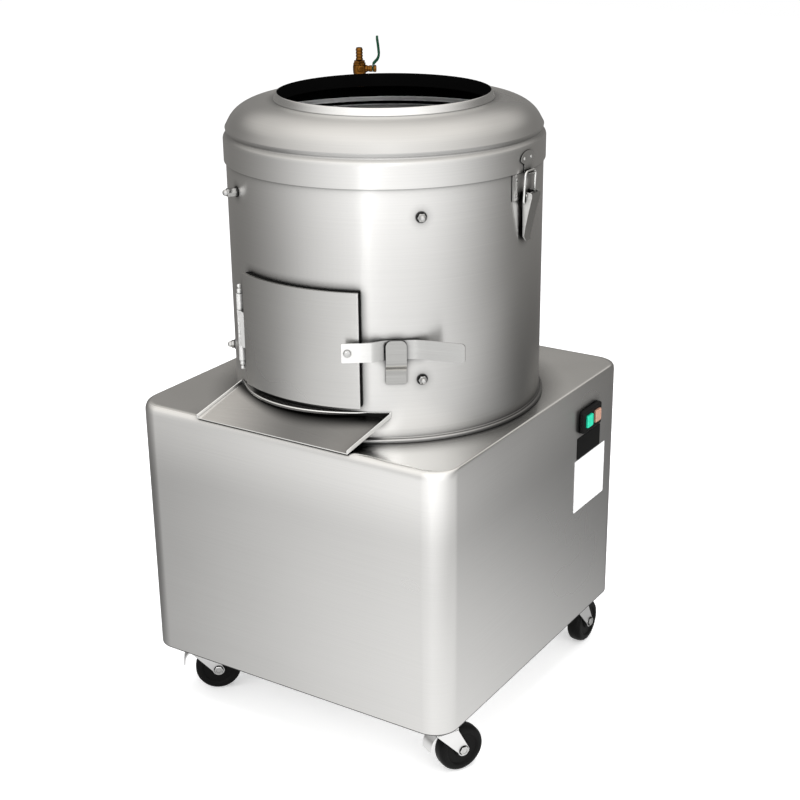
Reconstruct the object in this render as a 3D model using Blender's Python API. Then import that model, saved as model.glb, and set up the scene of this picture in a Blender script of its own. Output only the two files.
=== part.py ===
# Potato peeler machine: a drum with an abrasive turntable on a wheeled sheet metal base.
# Units are metres, +Z is up, the floor is z = 0 and the discharge door faces -Y.
import math

import bmesh
import bpy
from mathutils import Matrix, Vector

# Fits and finish
GAP = 0.0003
OVERRUN = 0.006
MERGE = 0.00001
SMOOTH_ANGLE = math.radians(35)

# Round counts
ROUND_STEPS = 48
SMALL_STEPS = 20
TINY_STEPS = 12
WHEEL_STEPS = 28
PULLEY_STEPS = 32
CORNER_STEPS = 5

# Base housing, one folded and welded stainless sheet box
BASE_WIDTH = 0.540
BASE_DEPTH = 0.557
BASE_HEIGHT = 0.406
BASE_LIFT = 0.095
BASE_SHEET = 0.0015
BASE_CORNER = 0.037
FRONT_BEND = 0.012
SIDE_BEND = 0.003
BASE_FLANGE = 0.030
FLOOR_PLATE = 0.003
VENT_HOLE = 0.045

# Rear cover with ventilation slots
COVER_SIDE = 0.100
COVER_FOOT = 0.030
COVER_HEADROOM = 0.002
COVER_SHEET = 0.0015
COVER_LAP = 0.012
SLOT_WIDTH = 0.110
SLOT_HEIGHT = 0.006
SLOT_PITCH = 0.018
SLOT_COUNT = 6

# Drum
DRUM_RADIUS = 0.230
DRUM_HEIGHT = 0.3925
DRUM_WALL = 0.0015
DRUM_OFFSET_X = 0.015
DRUM_OFFSET_Y = -0.019
DRUM_RIM = 0.0045
DRUM_RING = 0.0055
DRUM_RING_HEIGHT = 0.0055
DRUM_FLOOR = 0.003
LINER_THICKNESS = 0.002
LINER_LOW = 0.010
LINER_DROP = 0.012

# Discharge opening, door and its seal, angles counted round the drum
DOOR_LOW = 0.0525
DOOR_HEIGHT = 0.166
DOOR_SHEET = 0.002
DOOR_PROUD = 0.0105
DOOR_START = math.radians(-114.9)
DOOR_SWEEP = math.radians(48.8)
OPENING_INSET = 0.008
SEAL_WIDTH = 0.007
SEAL_SHOW_SIDE = 0.0035
SEAL_SHOW_TOP = 0.002
ARC_STEPS = 18

# Door hinge
HINGE_ANGLE = math.radians(-119.8)
KNUCKLE_RADIUS = 0.0050
HINGE_STANDOFF = 0.0010
HINGE_PIN_RADIUS = 0.0028
OUTER_KNUCKLE = 0.0237
MIDDLE_KNUCKLE = 0.0525
FINIAL_LENGTH = 0.0140
FINIAL_RADIUS = 0.0038
HINGE_LOW = 0.0820
LEAF_THICKNESS = 0.0015
LEAF_REACH = 0.013

# Latch strap, its pivot on the door and the catch hook on the drum
CATCH_ANGLE = math.radians(-54)
STRAP_HEIGHT = 0.0275
STRAP_THICKNESS = 0.0025
STRAP_LEVEL = 0.1370
STRAP_FRONT = 0.0125
STRAP_DIP = 0.0037
STRAP_FLARE = 0.0290
STRAP_LEFT = 0.0750
STRAP_RAMP_START = 0.0330
STRAP_RAMP_END = 0.0160
STRAP_FLARE_START = 0.0280
STRAP_RIGHT = 0.0920
STRAP_ROUNDING = 0.0040
STRAP_PIVOT = 0.0668
PIVOT_RADIUS = 0.0040
PIVOT_HEAD = 0.0065
PIVOT_HEAD_THICKNESS = 0.0022
CATCH_WIDTH = 0.0287
CATCH_THICKNESS = 0.0020
CATCH_LOW = 0.0870
CATCH_FOLD = 0.0245
CATCH_HEIGHT = 0.0640
CATCH_SLOT = 0.0068
CATCH_ROUNDING = 0.0070

# Discharge chute from the drum wall down to the front edge, with a sill shelf under the door
CHUTE_START = math.radians(-125.9)
CHUTE_END = math.radians(-55.8)
CHUTE_SHEAR = 0.45
CHUTE_SETBACK = 0.0020
CHUTE_REACH = 0.0240
CHUTE_DROP = 0.0015
CHUTE_RISE = 0.0370
CHUTE_SHEET = 0.0015
CHUTE_LIP = 0.0060
CHUTE_STEPS = 18
SILL_LOW = 0.0395
SILL_HEIGHT = 0.0050
SILL_REACH = 0.0150
SILL_MIDDLE = math.radians(-93.5)
SILL_HALF = math.radians(29.5)

# Lid hood
LID_SHEET = 0.0012
BAND_STANDOFF = 0.0030
BAND_DROP = 0.0345
BAND_SHOULDER = 0.0033
SHOULDER_STEP = 0.0008
SHOULDER_RISE = 0.0021
GROOVE_INSET = 0.0028
GROOVE_RISE = 0.0047
DOME_FOOT_INSET = 0.0009
DOME_FOOT_RISE = 0.0092
DOME_STANDOFF = 0.0006
DOME_START = 0.0083
DOME_RISE = 0.0482
DOME_MOUTH = 0.1580
DOME_SIDE_POWER = 0.80
DOME_TOP_POWER = 0.79
DOME_STEPS = 6

# Mouth collar
COLLAR_FOOT = 0.1592
COLLAR_TOP = 0.1550
COLLAR_BORE = 0.1535
COLLAR_HEIGHT = 0.0100
COLLAR_LEG = 0.0095
COLLAR_SHEET = 0.0012

# Toggle latches that hold the lid
LATCH_ANGLES = (0.0, math.pi)
HOOK_HALF_WIDTH = 0.0190
HOOK_SHEET = 0.0012
HOOK_TOP = 0.0060
HOOK_WAIST = 0.0090
HOOK_HEIGHT = 0.0300
HOOK_LEDGE = 0.0080
BAIL_WIRE = 0.0016
BAIL_HALF_WIDTH = 0.0165
BAIL_HEIGHT = 0.0430
BAIL_LEAN = 0.0020
BAIL_CORNER = 0.0060
CATCH_PLATE_HALF = 0.0330
CATCH_PLATE_HEIGHT = 0.0367
CATCH_PLATE_DROP = 0.0008
CATCH_PLATE_SHEET = 0.0015
EAR_OFFSET = 0.0095
EAR_SHEET = 0.0013
EAR_RADIUS = 0.0040
LEVER_PIN = 0.0015
LEVER_STANDOFF = 0.0090
LEVER_PIN_RISE = 0.0105
LEVER_HALF_WIDTH = 0.0123
LEVER_SHEET = 0.0012
LEVER_TOP = 0.0040
LEVER_LENGTH = 0.0630
LEVER_DEPTH = 0.0150
LEVER_BACK = 0.0055
LEVER_TAB = 0.0070
LEVER_TAB_FLARE = 0.0025

# Water valve on the hood
VALVE_ANGLE = math.radians(134.3)
VALVE_SHARE = 0.496
VALVE_FACING = math.radians(32.8)
NIPPLE_RADIUS = 0.0070
NIPPLE_DROP = 0.0110
NIPPLE_RISE = 0.0072
NIPPLE_NUT = 0.0110
NIPPLE_NUT_HEIGHT = 0.0040
VALVE_BODY_RADIUS = 0.0103
VALVE_BODY_HEIGHT = 0.0180
VALVE_BORE = 0.0035
STEM_RADIUS = 0.0045
STEM_REACH = 0.0195
LEVER_NUT_RADIUS = 0.0052
LEVER_NUT_LENGTH = 0.0065
BARB_RADIUS = 0.0057
BARB_ROOT = 0.0046
BARB_LENGTH = 0.0230
BARB_RINGS = 4
HANDLE_THICKNESS = 0.0020
HANDLE_HALF_WIDTH = 0.0050
HANDLE_OUT = 0.0100
HANDLE_ELBOW = 0.0175
HANDLE_HEIGHT = 0.0500

# Turntable and drive
SHAFT_RADIUS = 0.010
SHAFT_LOW = 0.1490
SHAFT_RISE = 0.0570
DISC_CLEARANCE = 0.0047
DISC_LIFT = 0.0290
DISC_THICKNESS = 0.0100
DISC_WAVE = 0.0045
DISC_WAVES = 3
DISC_HUB_RADIUS = 0.030
DISC_HUB_DROP = 0.0085
DISC_HUB_RISE = 0.0060
NUT_ACROSS = 0.0175
NUT_HEIGHT = 0.0100
NUT_DOME = 0.0100
HOUSING_FLANGE = 0.055
HOUSING_FLANGE_THICKNESS = 0.008
HOUSING_TUBE = 0.032
HOUSING_NECK = 0.028
HOUSING_NECK_RISE = 0.015
HOUSING_DROP = 0.100
BEARING_OUTER = 0.021
BEARING_HEIGHT = 0.014
HOUSING_BORE = 0.0185
PULLEY_RADIUS = 0.085
PULLEY_WIDTH = 0.018
PULLEY_RIM = 0.014
PULLEY_WEB = 0.008
PULLEY_HUB = 0.022
PULLEY_DROP = 0.130
MOTOR_PULLEY_RADIUS = 0.034
BELT_HEIGHT = 0.008
BELT_OUTER_WIDTH = 0.010
BELT_INNER_WIDTH = 0.006
BELT_RECESS = 0.001
BELT_CLEARANCE = 0.0012
MOTOR_INSET_SIDE = 0.140
MOTOR_INSET_BACK = 0.1385
MOTOR_RADIUS = 0.062
MOTOR_FIN = 0.005
MOTOR_BELL = 0.022
MOTOR_HEADROOM = 0.0316
MOTOR_SHAFT_RADIUS = 0.007
MOTOR_SHAFT_GRIP = 0.020
MOTOR_BOX = 0.036
MOTOR_BOX_REACH = 0.030
BRACKET_HALF = 0.080
BRACKET_SHEET = 0.004
BRACKET_HEIGHT = 0.045
BRACKET_FOOT = 0.024

# Drain outlet and cable gland on the back
DRAIN_RADIUS = 0.019
DRAIN_WALL = 0.002
DRAIN_BEND = 0.040
DRAIN_INSET = 0.060
DRAIN_ANGLE = math.radians(52)
DRAIN_DROP = 0.135
DRAIN_REACH = 0.035
BEND_STEPS = 6
GLAND_ACROSS = 0.0115
GLAND_FLANGE = 0.005
GLAND_CAP = 0.012
GLAND_CAP_RADIUS = 0.0095
GLAND_BORE = 0.0042
GLAND_THREAD = 0.0080
GLAND_THREAD_LENGTH = 0.012
GLAND_INSET = 0.070
GLAND_LIFT = 0.060

# Push button switch on the right wall
SWITCH_INSET_BACK = 0.1180
SWITCH_DROP = 0.061
SWITCH_WIDTH = 0.063
SWITCH_HEIGHT = 0.0365
SWITCH_FLANGE = 0.0075
SWITCH_CHAMFER = 0.003
SWITCH_BODY_INSET = 0.006
SWITCH_BODY_DEPTH = 0.030
BUTTON_WIDTH = 0.019
BUTTON_HEIGHT = 0.020
BUTTON_PROUD = 0.0035
BUTTON_SINK = 0.004
BUTTON_PITCH = 0.028
BUTTON_EDGE = 0.0015

# Casters
CASTER_INSET_LEFT = 0.050
CASTER_INSET_RIGHT = 0.035
CASTER_INSET_FRONT = 0.055
CASTER_INSET_BACK = 0.068
CASTER_TRAIL = 0.027
CASTER_PLATE_HALF = 0.028
CASTER_PLATE_SHEET = 0.0025
WHEEL_RADIUS = 0.0364
WHEEL_HALF_WIDTH = 0.0120
WHEEL_TREAD_ROUND = 0.0040
WHEEL_HUB_RADIUS = 0.0120
WHEEL_RECESS = 0.0025
WHEEL_RIM = 0.0260
AXLE_RADIUS = 0.0040
AXLE_HEAD = 0.0065
AXLE_HEAD_LENGTH = 0.0030
FORK_SHEET = 0.0020
FORK_CLEARANCE = 0.0012
FORK_HALF_TOP = 0.0180
FORK_HALF_LOW = 0.0095
FORK_CROWN_CLEARANCE = 0.0060
RACE_RADIUS = 0.0190
KINGPIN_RADIUS = 0.0060
BRAKE_SHEET = 0.0018
BRAKE_PIVOT_BACK = 0.0100
BRAKE_PIVOT_DROP = 0.0070
BRAKE_REACH = 0.0165
BRAKE_DROP = 0.0210
BRAKE_TAB = 0.0045
BRAKE_BARREL = 0.0026
BRAKE_SIDE_CLEARANCE = 0.0010

# Places and levels worked out from the sizes above
DECK = BASE_LIFT + BASE_HEIGHT
DRUM_LOW = DECK + GAP
DRUM_TOP = DRUM_LOW + DRUM_HEIGHT
FLOOR_TOP = DRUM_LOW + DRUM_FLOOR
SWITCH_REACH = GAP + SWITCH_FLANGE + BUTTON_PROUD
BODY_X = -SWITCH_REACH / 2
BODY_Y = -DRAIN_REACH / 2
DOOR_INNER = DRUM_RADIUS + DOOR_PROUD - DOOR_SHEET
DOOR_OUTER = DRUM_RADIUS + DOOR_PROUD
HINGE_RADIUS = DRUM_RADIUS + HINGE_STANDOFF + KNUCKLE_RADIUS
PULLEY_LEVEL = DECK - PULLEY_DROP
BAND_RADIUS = DRUM_RADIUS + BAND_STANDOFF
GROOVE_RADIUS = DRUM_RADIUS - GROOVE_INSET
DOME_FOOT = DRUM_RADIUS - DOME_FOOT_INSET
DOME_RADIUS = DRUM_RADIUS + DOME_STANDOFF
VALVE_RADIUS = DOME_MOUTH + (DOME_RADIUS - DOME_MOUTH) * VALVE_SHARE
LINER_INNER = DRUM_RADIUS - DRUM_WALL - GAP - LINER_THICKNESS
DISC_RADIUS = LINER_INNER - DISC_CLEARANCE
DRAIN_RING = DRUM_RADIUS - DRAIN_INSET
DRAIN_LEVEL = DECK - DRAIN_DROP
COVER_WIDTH = BASE_WIDTH - COVER_SIDE * 2
COVER_LOW = BASE_LIFT + COVER_FOOT
COVER_HIGH = DRAIN_LEVEL - DRAIN_RADIUS - COVER_HEADROOM
COVER_HEIGHT = COVER_HIGH - COVER_LOW
COVER_CENTRE_Z = (COVER_LOW + COVER_HIGH) / 2
GLAND_X = GLAND_INSET - BASE_WIDTH / 2
SWITCH_CENTRE_Y = BASE_DEPTH / 2 - SWITCH_INSET_BACK
MOTOR_OFFSET_X = MOTOR_INSET_SIDE - BASE_WIDTH / 2
MOTOR_OFFSET_Y = BASE_DEPTH / 2 - MOTOR_INSET_BACK
SHELF_LOW = BASE_LIFT + BASE_SHEET + GAP + FLOOR_PLATE + GAP
SHELF_TOP = SHELF_LOW + BRACKET_HEIGHT
MOTOR_LOW = SHELF_TOP + GAP
MOTOR_TOP = PULLEY_LEVEL - PULLEY_WIDTH / 2 - MOTOR_HEADROOM

# Colours, roughness and metallic share of each finish
FINISHES = {
    "stainless": ((0.62, 0.61, 0.59), 0.32, 1.0),
    "bright_steel": ((0.78, 0.78, 0.77), 0.22, 1.0),
    "zinc": ((0.74, 0.75, 0.76), 0.35, 1.0),
    "black_rubber": ((0.02, 0.02, 0.02), 0.7, 0.0),
    "abrasive": ((0.05, 0.05, 0.055), 0.95, 0.0),
    "cast_aluminium": ((0.55, 0.56, 0.57), 0.45, 1.0),
    "cast_iron": ((0.16, 0.16, 0.17), 0.6, 0.6),
    "motor_paint": ((0.12, 0.16, 0.20), 0.45, 0.0),
    "brass": ((0.50, 0.28, 0.07), 0.35, 1.0),
    "green_vinyl": ((0.02, 0.13, 0.06), 0.4, 0.0),
    "black_plastic": ((0.012, 0.012, 0.013), 0.4, 0.0),
    "green_button": ((0.0, 0.62, 0.38), 0.3, 0.0),
    "red_button": ((0.72, 0.33, 0.22), 0.3, 0.0),
    "tyre": ((0.012, 0.012, 0.012), 0.6, 0.0),
}


def clear_scene():
    for old in list(bpy.data.objects):
        bpy.data.objects.remove(old, do_unlink=True)


def finish(name):
    material = bpy.data.materials.get(name)
    if material is None:
        colour, roughness, metallic = FINISHES[name]
        material = bpy.data.materials.new(name)
        material.use_nodes = True
        shader = material.node_tree.nodes["Principled BSDF"]
        shader.inputs["Base Color"].default_value = (*colour, 1.0)
        shader.inputs["Roughness"].default_value = roughness
        shader.inputs["Metallic"].default_value = metallic
        material.diffuse_color = (*colour, 1.0)
    return material


# A closed solid through rings of points; a closed chain has no end caps
def loft(name, rings, closed=False):
    work = bmesh.new()
    rows = [[work.verts.new(point) for point in ring] for ring in rings]
    pairs = list(zip(rows, rows[1:]))
    if closed:
        pairs.append((rows[-1], rows[0]))
    for low, high in pairs:
        for index in range(len(low)):
            after = (index + 1) % len(low)
            work.faces.new((low[index], low[after], high[after], high[index]))
    if not closed:
        work.faces.new(list(reversed(rows[0])))
        work.faces.new(rows[-1])
    bmesh.ops.recalc_face_normals(work, faces=work.faces)
    mesh = bpy.data.meshes.new(name)
    work.to_mesh(mesh)
    work.free()
    solid = bpy.data.objects.new(name, mesh)
    bpy.context.collection.objects.link(solid)
    return solid


def circle(radius, level, steps, start=0.0):
    turn = math.tau / steps
    return [(radius * math.cos(start + turn * k), radius * math.sin(start + turn * k), level)
            for k in range(steps)]


# A turned piece about Z through (radius, level) points
def turned(name, profile, steps=ROUND_STEPS, closed=True, start=0.0):
    return loft(name, [circle(radius, level, steps, start) for radius, level in profile], closed)


def rod(name, radius, low, high, steps=TINY_STEPS):
    return turned(name, [(radius, low), (radius, high)], steps, closed=False)


# Flat outline in two axes, extruded along the third
def prism(name, outline, low, high, along="Z"):
    def put(a, b, c):
        return {"Z": (a, b, c), "Y": (a, c, b), "X": (c, a, b)}[along]
    return loft(name, [[put(a, b, level) for a, b in outline] for level in (low, high)])


def block(name, low, high):
    outline = [(low[0], low[1]), (high[0], low[1]), (high[0], high[1]), (low[0], high[1])]
    return prism(name, outline, low[2], high[2])


def rounded_outline(half_x, half_y, radius, steps=CORNER_STEPS):
    outline = []
    for quarter, (side_x, side_y) in enumerate(((1, 1), (-1, 1), (-1, -1), (1, -1))):
        for k in range(steps + 1):
            angle = (quarter + k / steps) * math.pi / 2
            outline.append((side_x * (half_x - radius) + radius * math.cos(angle),
                            side_y * (half_y - radius) + radius * math.sin(angle)))
    return outline


# A curved block between two radii, two angles and two levels
def arc_block(name, inner, outer, start, end, low, high, steps=ARC_STEPS):
    rings = []
    for k in range(steps + 1):
        angle = start + (end - start) * k / steps
        c, s = math.cos(angle), math.sin(angle)
        rings.append([(r * c, r * s, z) for r, z in
                      ((inner, low), (outer, low), (outer, high), (inner, high))])
    return loft(name, rings)


# A bent strip: stations are (across, up, low side, high side), the sheet is centred on the path
def strip(name, stations, thickness, axes=("X", "Z", "Y")):
    rings = []
    for k, (across, up, side_low, side_high) in enumerate(stations):
        before = stations[max(k - 1, 0)]
        after = stations[min(k + 1, len(stations) - 1)]
        run = Vector((after[0] - before[0], after[1] - before[1])).normalized()
        joint = Vector((across - before[0], up - before[1]))
        bend = joint.normalized().dot(run) if 0 < k < len(stations) - 1 else 1.0
        half = Vector((-run.y, run.x)) * thickness / (2 * bend)
        ring = []
        for sign, side in ((-1, side_low), (1, side_low), (1, side_high), (-1, side_high)):
            value = dict(zip(axes, (across + sign * half.x, up + sign * half.y, side)))
            ring.append((value["X"], value["Y"], value["Z"]))
        rings.append(ring)
    return loft(name, rings)


# A round section swept along points; with a bore it is a pipe
def sweep(name, points, radius, steps, bore=0.0):
    path = [Vector(point) for point in points]
    side = None
    outer, inner = [], []
    for k, point in enumerate(path):
        run = (path[min(k + 1, len(path) - 1)] - path[max(k - 1, 0)]).normalized()
        if side is None:
            side = run.orthogonal().normalized()
        side = (side - run * side.dot(run)).normalized()
        other = run.cross(side)
        turns = [math.tau * n / steps for n in range(steps)]
        outer.append([point + (side * math.cos(t) + other * math.sin(t)) * radius for t in turns])
        inner.append([point + (side * math.cos(t) + other * math.sin(t)) * bore for t in turns])
    if bore:
        return loft(name, outer + inner[::-1], closed=True)
    return loft(name, outer)


def arc_points(centre, radius, start, end, steps):
    return [(centre[0] + radius * math.cos(start + (end - start) * k / steps),
             centre[1] + radius * math.sin(start + (end - start) * k / steps))
            for k in range(steps + 1)]


def shift(solid, x=0.0, y=0.0, z=0.0):
    solid.data.transform(Matrix.Translation((x, y, z)))
    return solid


def tip(solid, angle, axis):
    solid.data.transform(Matrix.Rotation(angle, 4, axis))
    return solid


# Exact union or difference with each helper in turn, applied at once, so the helpers can go
def combine(solid, operation, *others):
    for other in others:
        step = solid.modifiers.new(operation, "BOOLEAN")
        step.operation = operation
        step.solver = "EXACT"
        step.object = other
        bpy.context.view_layer.update()
        graph = bpy.context.evaluated_depsgraph_get()
        result = bpy.data.meshes.new_from_object(solid.evaluated_get(graph))
        solid.modifiers.clear()
        solid.data = result
        bpy.data.objects.remove(other, do_unlink=True)
        work = bmesh.new()
        work.from_mesh(result)
        bmesh.ops.remove_doubles(work, verts=work.verts, dist=MERGE)
        bmesh.ops.dissolve_degenerate(work, edges=work.edges, dist=MERGE)
        work.to_mesh(result)
        work.free()
    return solid


def empty(name, x, y, z=0.0, parent=None):
    marker = bpy.data.objects.new(name, None)
    marker.location = (x, y, z)
    marker.parent = parent
    bpy.context.collection.objects.link(marker)
    return marker


# Seats a piece under a parent; the pivot becomes its origin, the turn goes about the parent's Z
def seat(solid, material, parent, turn=0.0, pivot=(0.0, 0.0, 0.0)):
    solid.data.transform(Matrix.Translation(-Vector(pivot)))
    solid.parent = parent
    solid.rotation_euler.z = turn
    solid.location = Matrix.Rotation(turn, 3, "Z") @ Vector(pivot)
    solid.data.materials.clear()
    solid.data.materials.append(finish(material))
    solid.data.shade_smooth()
    solid.data.set_sharp_from_angle(angle=SMOOTH_ANGLE)
    return solid


def bend_inset(level, top, radius):
    height = level - (top - radius)
    if height <= 0:
        return 0.0
    return radius - math.sqrt(max(radius * radius - height * height, 0.0))


# Rings of the housing wall from the bottom to the deck, all moved in by one thickness
def housing_rings(inset):
    top = DECK - inset
    rings = []
    levels = [BASE_LIFT + inset, top - FRONT_BEND + inset]
    bend = FRONT_BEND - inset
    levels += [top - bend + bend * math.sin(math.pi / 2 * k / CORNER_STEPS)
               for k in range(1, CORNER_STEPS + 1)]
    for level in levels:
        half_x = BASE_WIDTH / 2 - inset - bend_inset(level, top, SIDE_BEND - inset)
        half_y = BASE_DEPTH / 2 - inset - bend_inset(level, top, bend)
        rings.append([(x, y, level) for x, y in
                      rounded_outline(half_x, half_y, BASE_CORNER - inset)])
    return rings


def drain_place():
    return (DRUM_OFFSET_X + DRAIN_RING * math.cos(DRAIN_ANGLE),
            DRUM_OFFSET_Y + DRAIN_RING * math.sin(DRAIN_ANGLE))


def make_base(base):
    outer = housing_rings(0.0)
    inner = housing_rings(BASE_SHEET)
    lip = rounded_outline(BASE_WIDTH / 2 - BASE_FLANGE, BASE_DEPTH / 2 - BASE_FLANGE,
                          BASE_CORNER - BASE_FLANGE)
    flange = [[(x, y, level) for x, y in lip] for level in (BASE_LIFT, BASE_LIFT + BASE_SHEET)]
    housing = loft("base_housing", outer[::-1] + flange + inner)
    drain_x, drain_y = drain_place()
    wall_y = BASE_DEPTH / 2
    shaft_hole = shift(rod("cut_shaft", HOUSING_NECK + GAP, DECK - OVERRUN, DECK + OVERRUN, SMALL_STEPS),
                       DRUM_OFFSET_X, DRUM_OFFSET_Y)
    drain_hole = shift(rod("cut_drain", DRAIN_RADIUS + GAP, DECK - OVERRUN, DECK + OVERRUN, SMALL_STEPS),
                       drain_x, drain_y)
    exit_hole = tip(rod("cut_exit", DRAIN_RADIUS + GAP, -OVERRUN, OVERRUN, SMALL_STEPS), math.pi / 2, "X")
    shift(exit_hole, drain_x, wall_y, DRAIN_LEVEL)
    gland_hole = tip(rod("cut_gland", GLAND_THREAD + GAP, -OVERRUN, OVERRUN, SMALL_STEPS), math.pi / 2, "X")
    shift(gland_hole, GLAND_X, wall_y, BASE_LIFT + GLAND_LIFT)
    half_cut_x = COVER_WIDTH / 2 - COVER_LAP
    half_cut_z = COVER_HEIGHT / 2 - COVER_LAP
    rear = block("cut_rear", (-half_cut_x, wall_y - OVERRUN, COVER_CENTRE_Z - half_cut_z),
                 (half_cut_x, wall_y + OVERRUN, COVER_CENTRE_Z + half_cut_z))
    switch_half_y = SWITCH_WIDTH / 2 - SWITCH_BODY_INSET + GAP
    switch_half_z = SWITCH_HEIGHT / 2 - SWITCH_BODY_INSET + GAP
    switch_z = DECK - SWITCH_DROP
    window = block("cut_switch",
                   (BASE_WIDTH / 2 - OVERRUN, SWITCH_CENTRE_Y - switch_half_y, switch_z - switch_half_z),
                   (BASE_WIDTH / 2 + OVERRUN, SWITCH_CENTRE_Y + switch_half_y, switch_z + switch_half_z))
    combine(housing, "DIFFERENCE", shaft_hole, drain_hole, exit_hole, gland_hole, rear, window)
    seat(housing, "stainless", base)

    inset = BASE_SHEET + GAP
    low = BASE_LIFT + BASE_SHEET + GAP
    plate = prism("base_plate", rounded_outline(BASE_WIDTH / 2 - inset, BASE_DEPTH / 2 - inset,
                                                BASE_CORNER - inset),
                  low, low + FLOOR_PLATE)
    vent = rod("cut_vent", VENT_HOLE, low - OVERRUN, low + FLOOR_PLATE + OVERRUN, SMALL_STEPS)
    combine(plate, "DIFFERENCE", shift(vent, MOTOR_OFFSET_X, MOTOR_OFFSET_Y))
    seat(plate, "zinc", base)

    cover = block("rear_cover", (-COVER_WIDTH / 2, wall_y + GAP, COVER_CENTRE_Z - COVER_HEIGHT / 2),
                  (COVER_WIDTH / 2, wall_y + GAP + COVER_SHEET, COVER_CENTRE_Z + COVER_HEIGHT / 2))
    slots = []
    for row in range(SLOT_COUNT):
        level = COVER_CENTRE_Z + (row - (SLOT_COUNT - 1) / 2) * SLOT_PITCH
        slots.append(block("cut_slot", (-SLOT_WIDTH / 2, wall_y - OVERRUN, level - SLOT_HEIGHT / 2),
                           (SLOT_WIDTH / 2, wall_y + OVERRUN, level + SLOT_HEIGHT / 2)))
    combine(cover, "DIFFERENCE", *slots)
    seat(cover, "stainless", base)


def hexagon_radius(across, angle):
    sector = (angle + math.pi / 6) % (math.pi / 3) - math.pi / 6
    return across / math.cos(sector)


# Rings about Z for pieces that mix hexagons and rounds; a negative radius marks a hexagon
def fitting(name, profile, closed, steps=SMALL_STEPS):
    rings = []
    for radius, level in profile:
        ring = []
        for k in range(steps):
            angle = math.tau * k / steps
            reach = radius if radius > 0 else hexagon_radius(-radius, angle)
            ring.append((reach * math.cos(angle), reach * math.sin(angle), level))
        rings.append(ring)
    return loft(name, rings, closed)


def make_outlets(base):
    drain_x, drain_y = drain_place()
    exit_z = DRAIN_LEVEL
    bend = arc_points((DRAIN_BEND, DRAIN_BEND), DRAIN_BEND, math.pi, math.pi * 1.5, BEND_STEPS)
    points = [(drain_x, drain_y, FLOOR_TOP - GAP)]
    points += [(drain_x, drain_y + a, exit_z + b) for a, b in bend]
    points.append((drain_x, BASE_DEPTH / 2 + DRAIN_REACH, exit_z))
    pipe = sweep("drain_pipe", points, DRAIN_RADIUS, TINY_STEPS, DRAIN_RADIUS - DRAIN_WALL)
    seat(pipe, "stainless", base)

    outer = GAP + GLAND_FLANGE
    profile = [(GLAND_BORE, -GLAND_THREAD_LENGTH), (GLAND_THREAD, -GLAND_THREAD_LENGTH), (GLAND_THREAD,
                                                                                          GAP),
               (-GLAND_ACROSS, GAP), (-GLAND_ACROSS, outer), (GLAND_CAP_RADIUS, outer),
               (GLAND_CAP_RADIUS, outer + GLAND_CAP * 0.75), (GLAND_BORE + GAP, outer + GLAND_CAP),
               (GLAND_BORE, outer + GLAND_CAP)]
    gland = tip(fitting("cable_gland", profile, True), -math.pi / 2, "X")
    shift(gland, GLAND_X, BASE_DEPTH / 2, BASE_LIFT + GLAND_LIFT)
    seat(gland, "black_plastic", base)


def make_switch(base):
    wall = BASE_WIDTH / 2
    centre_z = DECK - SWITCH_DROP

    def rect(x, half_y, half_z):
        return [(x, SWITCH_CENTRE_Y + a * half_y, centre_z + b * half_z)
                for a, b in ((-1, -1), (1, -1), (1, 1), (-1, 1))]

    half_y, half_z = SWITCH_WIDTH / 2, SWITCH_HEIGHT / 2
    body_y, body_z = half_y - SWITCH_BODY_INSET, half_z - SWITCH_BODY_INSET
    face = wall + GAP + SWITCH_FLANGE
    rings = [rect(wall - SWITCH_BODY_DEPTH, body_y, body_z), rect(wall + GAP, body_y, body_z),
             rect(wall + GAP, half_y, half_z), rect(face - SWITCH_CHAMFER, half_y, half_z),
             rect(face, half_y - SWITCH_CHAMFER, half_z - SWITCH_CHAMFER)]
    housing = loft("switch_housing", rings)
    pockets = []
    depth = BUTTON_SINK + BUTTON_PROUD
    for side in (-1, 1):
        y = SWITCH_CENTRE_Y + side * BUTTON_PITCH / 2
        pockets.append(block("cut_pocket",
                             (face - depth, y - BUTTON_WIDTH / 2 - GAP, centre_z - BUTTON_HEIGHT / 2 - GAP),
                             (face + OVERRUN, y + BUTTON_WIDTH / 2 + GAP,
                              centre_z + BUTTON_HEIGHT / 2 + GAP)))
    combine(housing, "DIFFERENCE", *pockets)
    seat(housing, "black_plastic", base)

    for name, side, material in (("start_button", -1, "green_button"), ("stop_button", 1, "red_button")):
        y = SWITCH_CENTRE_Y + side * BUTTON_PITCH / 2

        def face_ring(x, trim):
            return [(x, y + a * (BUTTON_WIDTH / 2 - trim), centre_z + b * (BUTTON_HEIGHT / 2 - trim))
                    for a, b in ((-1, -1), (1, -1), (1, 1), (-1, 1))]

        front = face + BUTTON_PROUD
        back = face - BUTTON_SINK
        rings = [face_ring(back, 0.0), face_ring(front - BUTTON_EDGE, 0.0), face_ring(front, BUTTON_EDGE)]
        seat(loft(name, rings), material, base, pivot=(back, y, centre_z))


def opening_cutter(name, margin):
    start = DOOR_START + (OPENING_INSET - margin) / DRUM_RADIUS
    end = DOOR_START + DOOR_SWEEP - (OPENING_INSET - margin) / DRUM_RADIUS
    low = DECK + DOOR_LOW + OPENING_INSET - margin
    high = DECK + DOOR_LOW + DOOR_HEIGHT - OPENING_INSET + margin
    return arc_block(name, DRUM_RADIUS - OVERRUN - DRUM_WALL, DRUM_RADIUS + OVERRUN, start, end, low, high)


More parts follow.
